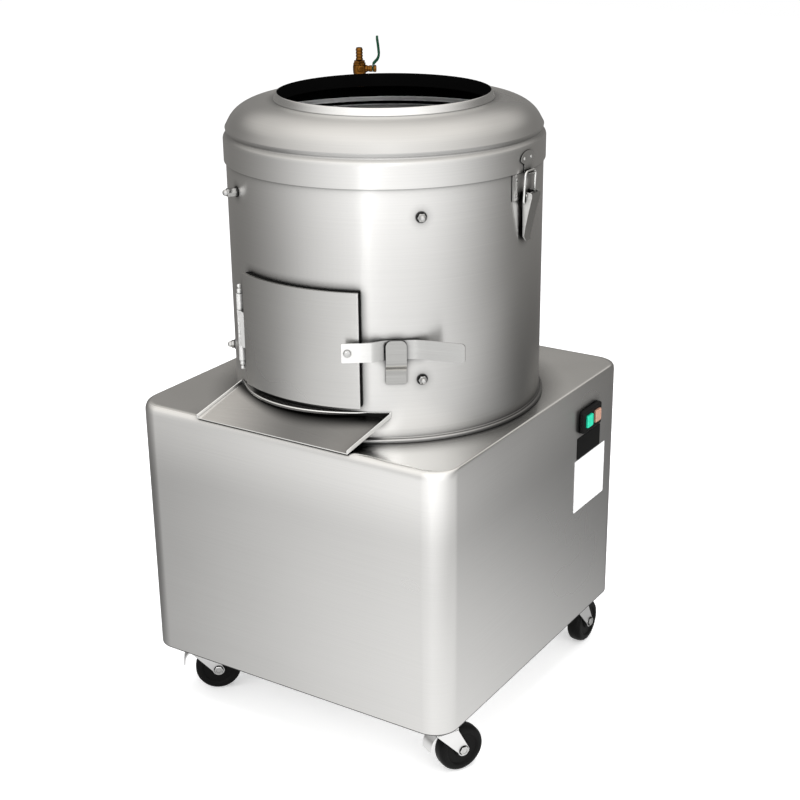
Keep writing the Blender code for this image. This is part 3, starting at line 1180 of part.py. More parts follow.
def make_valve(drum):
    x, y = VALVE_RADIUS * math.cos(VALVE_ANGLE), VALVE_RADIUS * math.sin(VALVE_ANGLE)
    share = (VALVE_RADIUS - DOME_MOUTH) / (DOME_RADIUS - DOME_MOUTH)
    angle = math.acos(share ** (1 / DOME_SIDE_POWER))
    dome = DRUM_TOP - DOME_START + (DOME_RISE + DOME_START) * math.sin(angle) ** DOME_TOP_POWER
    body_low = dome + NIPPLE_RISE
    body_high = body_low + VALVE_BODY_HEIGHT
    stem_level = (body_low + body_high) / 2
    ring = VALVE_BODY_HEIGHT / 4
    profile = [(VALVE_BORE, dome - NIPPLE_DROP), (NIPPLE_RADIUS, dome - NIPPLE_DROP),
               (NIPPLE_RADIUS, body_low - NIPPLE_NUT_HEIGHT), (-NIPPLE_NUT, body_low - NIPPLE_NUT_HEIGHT),
               (-NIPPLE_NUT, body_low), (VALVE_BODY_RADIUS * 0.85, body_low + ring * 0.3),
               (VALVE_BODY_RADIUS, body_low + ring), (VALVE_BODY_RADIUS, body_high - ring),
               (VALVE_BODY_RADIUS * 0.85, body_high - ring * 0.6), (-VALVE_BODY_RADIUS * 0.92,
                                                                    body_high - ring * 0.5),
               (-VALVE_BODY_RADIUS * 0.92, body_high), (VALVE_BORE, body_high)]
    body = fitting("valve_body", profile, True)
    stem = tip(rod("join_stem", STEM_RADIUS, VALVE_BODY_RADIUS * 0.6, STEM_REACH, TINY_STEPS),
               math.pi / 2, "Y")
    thread = tip(rod("join_thread", STEM_RADIUS * 0.6, STEM_REACH - OVERRUN,
                     STEM_REACH + LEVER_NUT_LENGTH, TINY_STEPS),
                 math.pi / 2, "Y")
    combine(body, "UNION", shift(stem, z=stem_level), shift(thread, z=stem_level))
    valve_axis = empty("valve_axis", x, y, parent=drum)
    seat(body, "brass", valve_axis, VALVE_FACING)

    low = body_high + GAP
    pitch = BARB_LENGTH / (BARB_RINGS + 1)
    profile = [(VALVE_BORE, low), (-VALVE_BODY_RADIUS * 0.8, low), (-VALVE_BODY_RADIUS * 0.8,
                                                                    low + pitch * 0.7),
               (BARB_ROOT, low + pitch * 0.7)]
    for k in range(1, BARB_RINGS + 1):
        profile += [(BARB_RADIUS, low + pitch * (k + 0.1)), (BARB_ROOT, low + pitch * (k + 0.8))]
    profile += [(BARB_ROOT, low + BARB_LENGTH), (VALVE_BORE, low + BARB_LENGTH)]
    seat(fitting("hose_barb", profile, True), "brass", valve_axis, VALVE_FACING)

    root = STEM_REACH + GAP + HANDLE_THICKNESS / 2
    half = HANDLE_HALF_WIDTH
    stations = [(root, stem_level - half, -half, half), (root, stem_level + half * 1.6, -half, half),
                (root + HANDLE_OUT, stem_level + HANDLE_ELBOW, -half, half),
                (root + HANDLE_OUT * 0.85, stem_level + HANDLE_ELBOW * 2, -half * 0.9, half * 0.9),
                (root + HANDLE_OUT * 0.7, stem_level + HANDLE_HEIGHT - half * 0.3, -half * 0.8, half * 0.8),
                (root + HANDLE_OUT * 0.7, stem_level + HANDLE_HEIGHT, -half * 0.4, half * 0.4)]
    handle = strip("valve_handle", stations, HANDLE_THICKNESS)
    nut_low = root + HANDLE_THICKNESS / 2
    nut = tip(fitting("join_nut", [(-LEVER_NUT_RADIUS, nut_low - HANDLE_THICKNESS / 2),
                                   (-LEVER_NUT_RADIUS, nut_low + LEVER_NUT_LENGTH - GAP * 2)], False),
              math.pi / 2, "Y")
    combine(handle, "UNION", shift(nut, z=stem_level))
    hole = tip(rod("cut_stem", STEM_RADIUS * 0.6 + GAP, 0.0, nut_low + LEVER_NUT_LENGTH + OVERRUN,
                   TINY_STEPS),
               math.pi / 2, "Y")
    combine(handle, "DIFFERENCE", shift(hole, z=stem_level))
    seat(handle, "green_vinyl", valve_axis, VALVE_FACING, (root, 0.0, stem_level))


# One caster about its swivel axis: X is the axle's direction, the wheel trails along +Y
def make_caster(base, suffix, x, y, heading, braked):
    swivel = empty("swivel_" + suffix, x, y, parent=base)
    swivel.rotation_euler.z = heading
    plate_top = BASE_LIFT - GAP
    plate_low = plate_top - CASTER_PLATE_SHEET
    half = CASTER_PLATE_HALF
    plate = block("caster_plate_" + suffix, (-half, -half, plate_low), (half, half, plate_top))
    combine(plate, "DIFFERENCE",
            rod("cut_kingpin", KINGPIN_RADIUS + GAP, plate_low - OVERRUN, plate_top + OVERRUN, TINY_STEPS))
    seat(plate, "zinc", base)
    plate.location = (x, y, 0.0)

    crown = WHEEL_RADIUS * 2 + FORK_CROWN_CLEARANCE
    leg = WHEEL_HALF_WIDTH + FORK_CLEARANCE + FORK_SHEET / 2
    trail = CASTER_TRAIL
    low = WHEEL_RADIUS
    tip_low = low - FORK_HALF_LOW

    def leg_stations(side):
        stations = []
        for share in (0.95, 0.7, 0.35, 0.0):
            wide = FORK_HALF_LOW * math.sqrt(1 - share * share)
            stations.append((side * leg, low - FORK_HALF_LOW * share, trail - wide, trail + wide))
        stations.append((side * leg, crown - FORK_CROWN_CLEARANCE, -FORK_HALF_TOP, FORK_HALF_TOP))
        stations.append((side * leg, crown - FORK_SHEET, -FORK_HALF_TOP, FORK_HALF_TOP))
        stations.append((side * (leg - FORK_SHEET), crown, -FORK_HALF_TOP, FORK_HALF_TOP))
        return stations

    fork = strip("caster_fork_" + suffix, leg_stations(-1) + leg_stations(1)[::-1], FORK_SHEET)
    race = turned("join_race", [(RACE_RADIUS * 0.8, crown), (RACE_RADIUS, crown + FORK_SHEET),
                                (RACE_RADIUS, plate_low - GAP), (KINGPIN_RADIUS, plate_low - GAP),
                                (KINGPIN_RADIUS, plate_top)], SMALL_STEPS, closed=False)
    reach = leg + FORK_SHEET / 2 + AXLE_HEAD_LENGTH
    axle_profile = [(AXLE_HEAD, -reach), (AXLE_HEAD, -leg), (AXLE_RADIUS, -leg),
                    (AXLE_RADIUS, leg), (AXLE_HEAD, leg), (AXLE_HEAD, reach)]
    axle = tip(turned("join_axle", axle_profile, TINY_STEPS, closed=False), math.pi / 2, "Y")
    combine(fork, "UNION", race, shift(axle, 0.0, trail, WHEEL_RADIUS))
    seat(fork, "zinc", swivel)

    spread = 1 / math.cos(math.pi / WHEEL_STEPS)
    outer = WHEEL_RADIUS * spread
    edge = WHEEL_HALF_WIDTH
    recess = edge - WHEEL_RECESS
    bore = AXLE_RADIUS + GAP
    side_profile = [(bore, edge), (WHEEL_HUB_RADIUS, edge), (WHEEL_RIM * 0.8, recess),
                    (outer - WHEEL_TREAD_ROUND, edge), (outer, edge - WHEEL_TREAD_ROUND)]
    profile = side_profile + [(radius, -level) for radius, level in side_profile[::-1]]
    wheel = turned("caster_wheel_" + suffix, profile, WHEEL_STEPS, start=math.pi / WHEEL_STEPS)
    tip(wheel, math.pi / 2, "Y")
    seat(shift(wheel, 0.0, trail, WHEEL_RADIUS), "tyre", swivel, 0.0, (0.0, trail, WHEEL_RADIUS))

    if braked:
        pivot_y, pivot_z = -BRAKE_PIVOT_BACK, crown - BRAKE_PIVOT_DROP
        wide = leg - FORK_SHEET / 2 - BRAKE_SIDE_CLEARANCE
        path = [(0.0, 0.0, 0.6), (0.4, 0.08, 1.0), (0.75, 0.32, 1.0), (0.93, 0.65, 1.0), (1.0, 1.0, 0.95)]
        stations = [(pivot_y - BRAKE_REACH * a, pivot_z - BRAKE_DROP * b, -wide * c, wide * c) for a, b,
                    c in path]
        stations.append((pivot_y - BRAKE_REACH, pivot_z - BRAKE_DROP - BRAKE_TAB, -wide * 0.6, wide * 0.6))
        brake = strip("caster_brake_" + suffix, stations, BRAKE_SHEET, axes=("Y", "Z", "X"))
        barrel_half = leg - FORK_SHEET / 2 - GAP
        barrel = tip(rod("join_barrel", BRAKE_BARREL, -barrel_half, barrel_half, TINY_STEPS),
                     math.pi / 2, "Y")
        combine(brake, "UNION", shift(barrel, 0.0, pivot_y, pivot_z))
        seat(brake, "zinc", swivel, 0.0, (0.0, pivot_y, pivot_z))


def make_casters(base):
    left = -BASE_WIDTH / 2 + CASTER_INSET_LEFT
    right = BASE_WIDTH / 2 - CASTER_INSET_RIGHT
    front = -BASE_DEPTH / 2 + CASTER_INSET_FRONT
    back = BASE_DEPTH / 2 - CASTER_INSET_BACK
    make_caster(base, "front_left", left, front, math.radians(-50), True)
    make_caster(base, "front_right", right, front, math.radians(-28), True)
    make_caster(base, "back_right", right, back, 0.0, False)
    make_caster(base, "back_left", left, back, 0.0, False)


def main():
    clear_scene()
    base = empty("base_centre", BODY_X, BODY_Y)
    drum = empty("drum_axis", BODY_X + DRUM_OFFSET_X, BODY_Y + DRUM_OFFSET_Y)
    make_base(base)
    make_outlets(base)
    make_switch(base)
    make_drum(drum)
    make_turntable(drum)
    make_drive(base, drum)
    make_lid(drum)
    make_door(drum)
    make_strap(drum)
    make_chute(base)
    for suffix, turn in zip(("right", "left"), LATCH_ANGLES):
        make_latch(drum, suffix, turn)
    make_valve(drum)
    make_casters(base)


main()
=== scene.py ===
from math import acos, atan2, cos, degrees, pi, radians, sin, sqrt, tau

import bmesh
import bpy
from mathutils import Matrix, Vector


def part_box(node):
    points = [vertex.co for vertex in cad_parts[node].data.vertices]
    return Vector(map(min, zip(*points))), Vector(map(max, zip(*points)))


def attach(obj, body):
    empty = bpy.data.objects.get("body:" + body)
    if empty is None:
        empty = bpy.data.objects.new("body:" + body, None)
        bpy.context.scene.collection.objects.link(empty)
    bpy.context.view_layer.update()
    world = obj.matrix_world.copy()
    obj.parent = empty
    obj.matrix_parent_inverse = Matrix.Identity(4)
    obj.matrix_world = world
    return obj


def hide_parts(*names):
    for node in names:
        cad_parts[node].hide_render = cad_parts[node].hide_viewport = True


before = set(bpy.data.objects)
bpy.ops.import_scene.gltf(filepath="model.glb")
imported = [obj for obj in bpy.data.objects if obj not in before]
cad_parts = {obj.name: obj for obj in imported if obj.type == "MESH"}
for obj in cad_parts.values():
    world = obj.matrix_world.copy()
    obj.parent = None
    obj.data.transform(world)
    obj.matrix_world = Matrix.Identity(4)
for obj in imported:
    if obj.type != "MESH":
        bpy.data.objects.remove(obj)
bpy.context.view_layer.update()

# Where things stand, read off the frame
lowBase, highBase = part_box("base_housing")
lowCollar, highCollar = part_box("mouth_collar")
baseAt = Vector(((lowBase.x + highBase.x) / 2, (lowBase.y + highBase.y) / 2, 0))
drumAt = Vector(((lowCollar.x + highCollar.x) / 2, (lowCollar.y + highCollar.y) / 2, 0))
deck = highBase.z
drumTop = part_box("drum_shell")[1].z
gap = 0.0003
around = 192
rightAngle = pi / 2


# A dictionary whose values are also read as names
class Values(dict):
    __getattr__ = dict.__getitem__


def addObject(name, data):
    piece = bpy.data.objects.new(name, data)
    bpy.context.scene.collection.objects.link(piece)
    return piece


def meshObject(name, verts, faces):
    data = bpy.data.meshes.new(name)
    data.from_pydata([tuple(v) for v in verts], [], faces)
    data.update()
    work = bmesh.new()
    work.from_mesh(data)
    bmesh.ops.recalc_face_normals(work, faces=work.faces)
    work.to_mesh(data)
    work.free()
    return addObject(name, data)


def loft(name, rings, closed=False):
    count, last = len(rings[0]), len(rings) - 1
    faces = []
    for low, high in [(k, k + 1) for k in range(last)] + [(last, 0)] * closed:
        for n in range(count):
            m = (n + 1) % count
            faces.append((low * count + n, low * count + m, high * count + m, high * count + n))
    if not closed:
        faces += [tuple(range(count))[::-1], tuple(last * count + n for n in range(count))]
    return meshObject(name, [v for ring in rings for v in ring], faces)


# A ring round Z; a negative radius stands for a hexagon of that half width
def circle(radius, level, steps):
    ring = []
    for k in range(steps):
        angle = tau * k / steps
        sector = (angle + pi / 6) % (pi / 3) - pi / 6
        reach = radius if radius > 0 else -radius / cos(sector)
        ring.append((reach * cos(angle), reach * sin(angle), level))
    return ring


def turned(name, profile, steps=around, closed=True):
    return loft(name, [circle(r, z, steps) for r, z in profile], closed)


def lift(points, level):
    return [(a, level + b) for a, b in points]


def atLevel(outline, level):
    return [(x, y, level) for x, y in outline]


def prism(name, outline, low, high, along="Z"):
    order = {"Z": lambda a, b, c: (a, b, c), "Y": lambda a, b, c: (a, c, b), "X": lambda a, b, c: (c, a, b)}[along]
    return loft(name, [[order(a, b, level) for a, b in outline] for level in (low, high)])


def box(name, low, high):
    return prism(name, [(low[0], low[1]), (high[0], low[1]), (high[0], high[1]), (low[0], high[1])], low[2], high[2])


def roundedOutline(halfX, halfY, radius, steps=12, at=(0, 0)):
    points = []
    for corner, (sx, sy) in enumerate(((1, 1), (-1, 1), (-1, -1), (1, -1))):
        for k in range(steps + 1):
            angle = (corner + k / steps) * rightAngle
            points.append((at[0] + sx * (halfX - radius) + radius * cos(angle),
                           at[1] + sy * (halfY - radius) + radius * sin(angle)))
    return points


def arcPoints(centre, radius, start, end, steps):
    turns = [start + (end - start) * k / steps for k in range(steps + 1)]
    return [(centre[0] + radius * cos(a), centre[1] + radius * sin(a)) for a in turns]


def arcBlock(name, inner, outer, start, end, low, high, steps=60):
    rings = []
    for k in range(steps + 1):
        a = start + (end - start) * k / steps
        rings.append([(r * cos(a), r * sin(a), z)
                      for r, z in ((inner, low), (outer, low), (outer, high), (inner, high))])
    return loft(name, rings)


# Sheet bent along a path; a station is (across, up, low side, high side)
def strip(name, stations, thickness, axes="XZY"):
    rings, last = [], len(stations) - 1
    for k, (across, up, sideLow, sideHigh) in enumerate(stations):
        before, after = stations[max(k - 1, 0)], stations[min(k + 1, last)]
        run = Vector((after[0] - before[0], after[1] - before[1])).normalized()
        joint = Vector((across - before[0], up - before[1]))
        bend = joint.normalized().dot(run) if 0 < k < last and joint.length > 0 else 1.0
        half = Vector((-run.y, run.x)) * thickness / (2 * max(bend, 0.5))
        ring = []
        for sign, side in ((-1, sideLow), (1, sideLow), (1, sideHigh), (-1, sideHigh)):
            value = dict(zip(axes, (across + sign * half.x, up + sign * half.y, side)))
            ring.append((value["X"], value["Y"], value["Z"]))
        rings.append(ring)
    return loft(name, rings)


def sweep(name, points, radius, steps=24, bore=0.0):
    path, side = [Vector(p) for p in points], None
    outer, inner = [], []
    for k, point in enumerate(path):
        run = (path[min(k + 1, len(path) - 1)] - path[max(k - 1, 0)]).normalized()
        side = side or run.orthogonal().normalized()
        side = (side - run * side.dot(run)).normalized()
        other = run.cross(side)
        spokes = [side * cos(tau * n / steps) + other * sin(tau * n / steps) for n in range(steps)]
        outer.append([point + spoke * radius for spoke in spokes])
        inner.append([point + spoke * bore for spoke in spokes])
    return loft(name, outer + inner[::-1], closed=True) if bore else loft(name, outer)


# Corner-cutting turns a few points into a smooth path
def smoothPath(points, rounds=2):
    for _ in range(rounds):
        path = [points[0]]
        for a, b in zip(points, points[1:]):
            path += [(a[0] * 0.75 + b[0] * 0.25, a[1] * 0.75 + b[1] * 0.25),
                     (a[0] * 0.25 + b[0] * 0.75, a[1] * 0.25 + b[1] * 0.75)]
        points = path + [points[-1]]
    return points


def shift(piece, x=0.0, y=0.0, z=0.0):
    piece.data.transform(Matrix.Translation((x, y, z)))
    return piece


def tip(piece, angle, axis="Y"):
    piece.data.transform(Matrix.Rotation(radians(angle), 4, axis))
    return piece


def cut(piece, *others):
    for other in others:
        step = piece.modifiers.new("cut", "BOOLEAN")
        step.operation = "DIFFERENCE"
        step.solver = "EXACT"
        step.object = other
        bpy.context.view_layer.update()
        result = bpy.data.meshes.new_from_object(piece.evaluated_get(bpy.context.evaluated_depsgraph_get()))
        piece.modifiers.clear()
        piece.data = result
        bpy.data.objects.remove(other, do_unlink=True)
    return piece


def join(name, *pieces):
    work = bmesh.new()
    for piece in pieces:
        work.from_mesh(piece.data)
        bpy.data.objects.remove(piece, do_unlink=True)
    data = bpy.data.meshes.new(name)
    work.to_mesh(data)
    work.free()
    return addObject(name, data)


def roundEdges(piece, width, limit=40, segments=2):
    work = bmesh.new()
    work.from_mesh(piece.data)
    bmesh.ops.remove_doubles(work, verts=work.verts, dist=0.000005)
    edges = [e for e in work.edges if len(e.link_faces) == 2 and e.calc_face_angle(0) > radians(limit)]
    bmesh.ops.bevel(work, geom=edges, offset=width, segments=segments, profile=0.5, affect="EDGES",
                    clamp_overlap=True)
    work.to_mesh(piece.data)
    work.free()
    return piece


def mark(piece, index):
    for face in piece.data.polygons:
        face.material_index = index
    return piece


# Puts a finished piece in its place, on its body and in its finish; pick says which of several finishes a face has
def seat(piece, finish, body, node, centre, turn=0.0, sharp=38, pick=None):
    for name in (finish,) if isinstance(finish, str) else finish:
        piece.data.materials.append(bpy.data.materials[name])
    for face in piece.data.polygons if pick else ():
        face.material_index = pick(face)
    piece.data.transform(Matrix.Translation(centre) @ Matrix.Rotation(turn, 4, "Z"))
    piece.data.shade_smooth()
    piece.data.set_sharp_from_angle(angle=radians(sharp))
    even = piece.modifiers.new("even", "WEIGHTED_NORMAL")
    even.keep_sharp = True
    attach(piece, body)
    if node:
        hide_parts(node)
    return piece


# Each input of a shader node is given as a value or as the socket that feeds it
def feed(node, inputs):
    for key, value in dict(inputs).items():
        if isinstance(value, bpy.types.NodeSocket):
            node.id_data.links.new(value, node.inputs[key])
        else:
            node.inputs[key].default_value = value


def add(tree, kind, inputs=(), **settings):
    node = tree.nodes.new("ShaderNode" + kind)
    for key, value in settings.items():
        setattr(node, key, value)
    feed(node, inputs)
    return node


def calc(tree, operation, *values, clamp=False):
    return add(tree, "Math", enumerate(values), operation=operation, use_clamp=clamp).outputs[0]


def ranged(tree, value, limits, kind="SMOOTHSTEP"):
    inputs = dict(zip(("From Min", "From Max", "To Min", "To Max"), limits))
    return add(tree, "MapRange", {"Value": value, **inputs}, interpolation_type=kind).outputs["Result"]


def blend(tree, first, second, factor=1.0, kind="MULTIPLY"):
    mix = add(tree, "Mix", data_type="RGBA", blend_type=kind)
    feed(mix, {"Factor": factor, "A": first, "B": second})
    return mix.outputs["Result"]


# Shared effects are node groups that give only values and masks
def newGroup(name, inputs):
    group = bpy.data.node_groups.new(name, "ShaderNodeTree")
    for label, default in inputs.items():
        made = group.interface.new_socket(label, in_out="INPUT", socket_type="NodeSocketFloat")
        made.default_value = default
    return group, group.nodes.new("NodeGroupInput").outputs


def finishGroup(group, results):
    for label in results:
        group.interface.new_socket(label, in_out="OUTPUT", socket_type="NodeSocketFloat")
    feed(group.nodes.new("NodeGroupOutput"), results)
    return group


# Fine brushed lines: level rings on upright faces, or lines along X on level faces
def brushedGroup(name, scale):
    group, given = newGroup(name, {"Depth": 0.5})
    place = add(group, "TexCoord").outputs["Object"]
    stretched = add(group, "Mapping", {"Vector": place, "Scale": scale}).outputs["Vector"]
    lines = add(group, "TexNoise", {"Vector": stretched, "Scale": 1.0, "Detail": 3.0, "Roughness": 0.65})
    patch = add(group, "TexNoise", {"Vector": place, "Scale": 5.0, "Detail": 2.0})
    tone = calc(group, "MULTIPLY", calc(group, "SUBTRACT", lines.outputs["Fac"], 0.5), given["Depth"])
    return finishGroup(group, {"Tone": tone, "Cloud": patch.outputs["Fac"]})


# Grit, cast skin and rubber: rounded speckle as height and tone
def grainGroup():
    group, given = newGroup("grain", {"Size": 400.0})
    place = add(group, "TexCoord").outputs["Object"]
    speck = add(group, "TexNoise", {"Vector": place, "Scale": given["Size"], "Detail": 4.0})
    wide = add(group, "TexNoise", {"Vector": place, "Scale": 18.0})
    return finishGroup(group, {"Height": speck.outputs["Fac"], "Tone": wide.outputs["Fac"]})


# Painted shade from an ambient occlusion node: 1 in the open, less where another surface is close
def paintedShadeGroup():
    group, given = newGroup("contact", {"Distance": 0.01, "Strength": 0.8})
    near = add(group, "AmbientOcclusion", {"Distance": given["Distance"]}, samples=8).outputs["AO"]
    amount = calc(group, "MULTIPLY", calc(group, "SUBTRACT", 1.0, near), given["Strength"])
    return finishGroup(group, {"Shade": calc(group, "SUBTRACT", 1.0, amount, clamp=True)})


paintedLightInputs = {"Along X": 1.0, "Along Y": 0.0, "Along Z": 0.0, "Outward": 0.0, "From": 0.0, "To": 1.0, "First": 1.0,
               "Last": 1.0}


# Painted light and shade: a value that goes from one level to another along a direction, or outward from the drum's
# axis
def paintedLightGroup():
    group, given = newGroup("paintedLight", paintedLightInputs)
    place = add(group, "TexCoord").outputs["Object"]
    split = add(group, "SeparateXYZ", {0: place}).outputs
    flat = add(group, "VectorMath", {0: place, 1: (1, 1, 0), 2: -drumAt}, operation="MULTIPLY_ADD").outputs[0]
    reach = add(group, "VectorMath", {0: flat}, operation="LENGTH").outputs["Value"]
    total = 0.0
    for label, source in zip(paintedLightInputs, (split["X"], split["Y"], split["Z"], reach)):
        total = calc(group, "MULTIPLY_ADD", source, given[label], total)
    limits = [given[label] for label in ("From", "To", "First", "Last")]
    return finishGroup(group, {"Value": ranged(group, total, limits)})


brushedWall = brushedGroup("brushedWall", (4.0, 4.0, 1400.0))
brushedDeck = brushedGroup("brushedDeck", (5.0, 1400.0, 4.0))
grain = grainGroup()
contact = paintedShadeGroup()
paintedLight = paintedLightGroup()


def newMaterial(name):
    material = bpy.data.materials.new(name)
    material.use_nodes = True
    return material, material.node_tree, material.node_tree.nodes["Principled BSDF"]


brushRelief = 0.0002
# The painted shade of the plain finishes, as distance and strength
plainShade = (0.008, 0.8)


# Colour darkened by painted shade where another surface is close, roughness that follows a tone, and a fine relief
def dress(tree, shader, colour, near, tone, rough, height, bump, depth):
    shade = add(tree, "Group", node_tree=contact)
    feed(shade, {"Distance": near[0], "Strength": near[1]})
    relief = add(tree, "Bump", {"Strength": bump, "Distance": depth, "Height": height})
    feed(shader, {"Base Color": blend(tree, colour, shade.outputs["Shade"]), "Normal": relief.outputs["Normal"],
                  "Roughness": ranged(tree, tone, (0.3, 0.7, *rough), "LINEAR")})


def steel(name, look, lines):
    material, tree, shader = newMaterial(name)
    effect = add(tree, "Group", node_tree=lines)
    feed(effect, {"Depth": look.depth})
    tone, cloud = effect.outputs["Tone"], effect.outputs["Cloud"]
    colour = blend(tree, (*look.dark, 1), (*look.light, 1), calc(tree, "ADD", tone, cloud, clamp=True), "MIX")
    # ramps of painted light and shade multiply the colour
    for change in look.get("paintedLight", ()):
        slide = add(tree, "Group", node_tree=paintedLight)
        feed(slide, zip(paintedLightInputs, change))
        colour = blend(tree, colour, slide.outputs["Value"])
    feed(shader, {"Metallic": 1.0, "Anisotropic": look.stretch, "Anisotropic Rotation": 0.25})
    rough = (look.rough - look.spread, look.rough + look.spread)
    dress(tree, shader, colour, look.contact, cloud, rough, tone, look.bump, brushRelief)


def plain(name, colour, rough, metallic=0.0, size=300, bump=0.1, depth=0.0003, coat=0.0, vary=0.15, shine=0.5):
    material, tree, shader = newMaterial(name)
    effect = add(tree, "Group", node_tree=grain)
    feed(effect, {"Size": size})
    tone = effect.outputs["Tone"]
    dark, light = [(*[min(c * (1 + side * vary), 1) for c in colour], 1) for side in (-1, 1)]
    feed(shader, {"Metallic": metallic, "Specular IOR Level": shine, "Coat Weight": coat})
    dress(tree, shader, blend(tree, dark, light, tone, "MIX"), plainShade, tone,
          (rough * 0.9, min(rough * 1.1, 1)), effect.outputs["Height"], bump, depth)


# Each ramp of painted light and shade is (along x, y, z, outward, from, to, first, last)
wallLook = Values(dark=(0.6, 0.597, 0.588), light=(0.695, 0.692, 0.683), rough=0.3, spread=0.03, depth=1.0,
                  bump=0.06, stretch=0.75, contact=(0.014, 1.7))
sheetLook = Values(rough=0.22, spread=0.04, depth=1.2, bump=0.05, stretch=0.3, contact=(0.01, 1.8))
roundLook = Values(spread=0.03, depth=0.5, bump=0.03, stretch=0.0, contact=(0.006, 1.6))
# painted light, lighter higher up
paintedLightUp = (0, 0, 1, 0, 0.68, 0.88, 1.0, 1.17)
domeSlope = (-0.162, 0.2525, 1, 0)
wallLooks = {
    # painted light higher up, and painted shade toward the right, the back and lower down
    "wallSteel": Values(wallLook, paintedLight=[paintedLightUp, (0.84, 0.54, -0.6, 0, -0.27, -0.12, 1.0, 0.5)]),
    # painted shade where the dome faces the front and painted light round its sides
    "domeSteel": Values(wallLook, paintedLight=[paintedLightUp, (*domeSlope, 0.815, 0.885, 0.74, 1.0),
                                         (*domeSlope, 0.893, 0.922, 1.0, 1.12)]),
    # painted light higher up, and painted shade toward the back and at the front-left corner
    "baseSteel": Values(wallLook, paintedLight=[(0, 0, 1, 0, 0.38, 0.49, 1.04, 1.42), (0, 1, 1, 0, 0.48, 0.74, 1.0, 0.7),
                                         (1, 0.5, 0, 0, -0.42, -0.386, 0.48, 1.0)]),
    "doorSteel": Values(wallLook, dark=(0.535, 0.532, 0.522), light=(0.635, 0.632, 0.62), rough=0.28, depth=1.2,
                        stretch=0.6, contact=(0.005, 1.3)),
    # a painted highlight for thin sheet edges
    "hemSteel": Values(roundLook, dark=(0.84, 0.84, 0.83), light=(0.94, 0.94, 0.93), rough=0.3, spread=0.02,
                       depth=0.4, stretch=0.2, contact=(0.002, 0.5)),
    "brightSteel": Values(roundLook, dark=(0.76, 0.76, 0.75), light=(0.9, 0.9, 0.89), rough=0.2, depth=0.8,
                          stretch=0.3, contact=(0.002, 0.9)),
    "fittingSteel": Values(sheetLook, dark=(0.62, 0.62, 0.61), light=(0.78, 0.78, 0.77)),
    # painted light at the strap's left end and painted shade toward its right end
    "strapSteel": Values(sheetLook, dark=(0.66, 0.66, 0.65), light=(0.82, 0.82, 0.81),
                         paintedLight=[(1, 0, 0, 0, 0.095, 0.16, 1.2, 0.72)]),
    "clipSteel": Values(sheetLook, dark=(0.34, 0.34, 0.33), light=(0.46, 0.46, 0.45), rough=0.2, contact=(0.008, 1.6)),
    # a darker copy for the lever's face, painted shade
    "leverSteel": Values(sheetLook, dark=(0.46, 0.46, 0.45), light=(0.58, 0.58, 0.57), contact=(0.003, 1.0)),
    "nutSteel": Values(roundLook, dark=(0.5, 0.5, 0.5), light=(0.66, 0.66, 0.65), rough=0.15),
    "darkSteel": Values(roundLook, dark=(0.05, 0.05, 0.05), light=(0.09, 0.09, 0.09), rough=0.3),
}
deckLooks = {
    # painted shade near other parts and painted light toward the right
    "deckSteel": Values(wallLook, dark=(0.7, 0.695, 0.68), light=(0.83, 0.825, 0.81), rough=0.2, depth=1.2,
                        stretch=0.3, contact=(0.05, 1.5), paintedLight=[(1, 0, 0, 0, -0.15, 0.2, 1.0, 1.26)]),
    # painted shade toward the right and a painted shadow near the drum, under the sill
    "chuteSteel": Values(wallLook, dark=(0.72, 0.705, 0.685), light=(0.86, 0.845, 0.82), rough=0.24, depth=1.2,
                         stretch=0.3, contact=(0.1, 0.9),
                         paintedLight=[(1, 0, 0, 0, -0.17, 0.02, 1.0, 0.28), (0, 0, 0, 1, 0.234, 0.2465, 0.05, 1.0)]),
}
plainLooks = {
    # a painted highlight for rims
    "rimSteel": Values(colour=(0.88, 0.88, 0.87), rough=0.35, metallic=0.3, size=250, bump=0.05),
    "hingeSteel": Values(colour=(0.8, 0.8, 0.79), rough=0.35, metallic=0.5, size=250),
    "zincSteel": Values(colour=(0.8, 0.8, 0.8), rough=0.32, metallic=1.0, size=250, vary=0.12),
    "blackRubber": Values(colour=(0.006, 0.006, 0.006), rough=0.8, size=500, bump=0.15, shine=0.08),
    "wheelBlack": Values(colour=(0.003, 0.003, 0.003), rough=0.5, bump=0.08, shine=0.12),
    "gritBlack": Values(colour=(0.006, 0.006, 0.006), rough=0.95, size=650, bump=1.0, depth=0.0012, vary=0.4,
                        shine=0.05),
    # painted shade: black for insides
    "innerDark": Values(colour=(0.003, 0.003, 0.003), rough=1.0, shine=0.0),
    "castIron": Values(colour=(0.12, 0.12, 0.13), rough=0.6, metallic=0.5, bump=0.3),
    "motorPaint": Values(colour=(0.1, 0.15, 0.19), rough=0.42, size=220, bump=0.2, coat=0.2),
    "brassMetal": Values(colour=(0.2, 0.082, 0.014), rough=0.18, metallic=1.0, size=260, bump=0.5, depth=0.0006,
                         vary=0.7),
    "greenVinyl": Values(colour=(0.002, 0.04, 0.018), rough=0.45, size=200, shine=0.25),
    "blackPlastic": Values(colour=(0.004, 0.004, 0.004), rough=0.45, size=500, shine=0.15),
    "greenKey": Values(colour=(0.0, 0.6, 0.36), rough=0.3, bump=0.05, coat=0.4, vary=0.05),
    "redKey": Values(colour=(0.5, 0.27, 0.19), rough=0.3, bump=0.05, coat=0.4, vary=0.05),
    "whiteLabel": Values(colour=(0.86, 0.86, 0.86), rough=0.45, size=200, bump=0.03, vary=0.02),
    "blackPlate": Values(colour=(0.004, 0.004, 0.004), rough=0.5, size=200, bump=0.03, vary=0.1, shine=0.1),
}
for looks, lines in ((wallLooks, brushedWall), (deckLooks, brushedDeck)):
    for name, look in looks.items():
        steel(name, look, lines)
for name, look in plainLooks.items():
    plain(name, **look)
print("materials made")

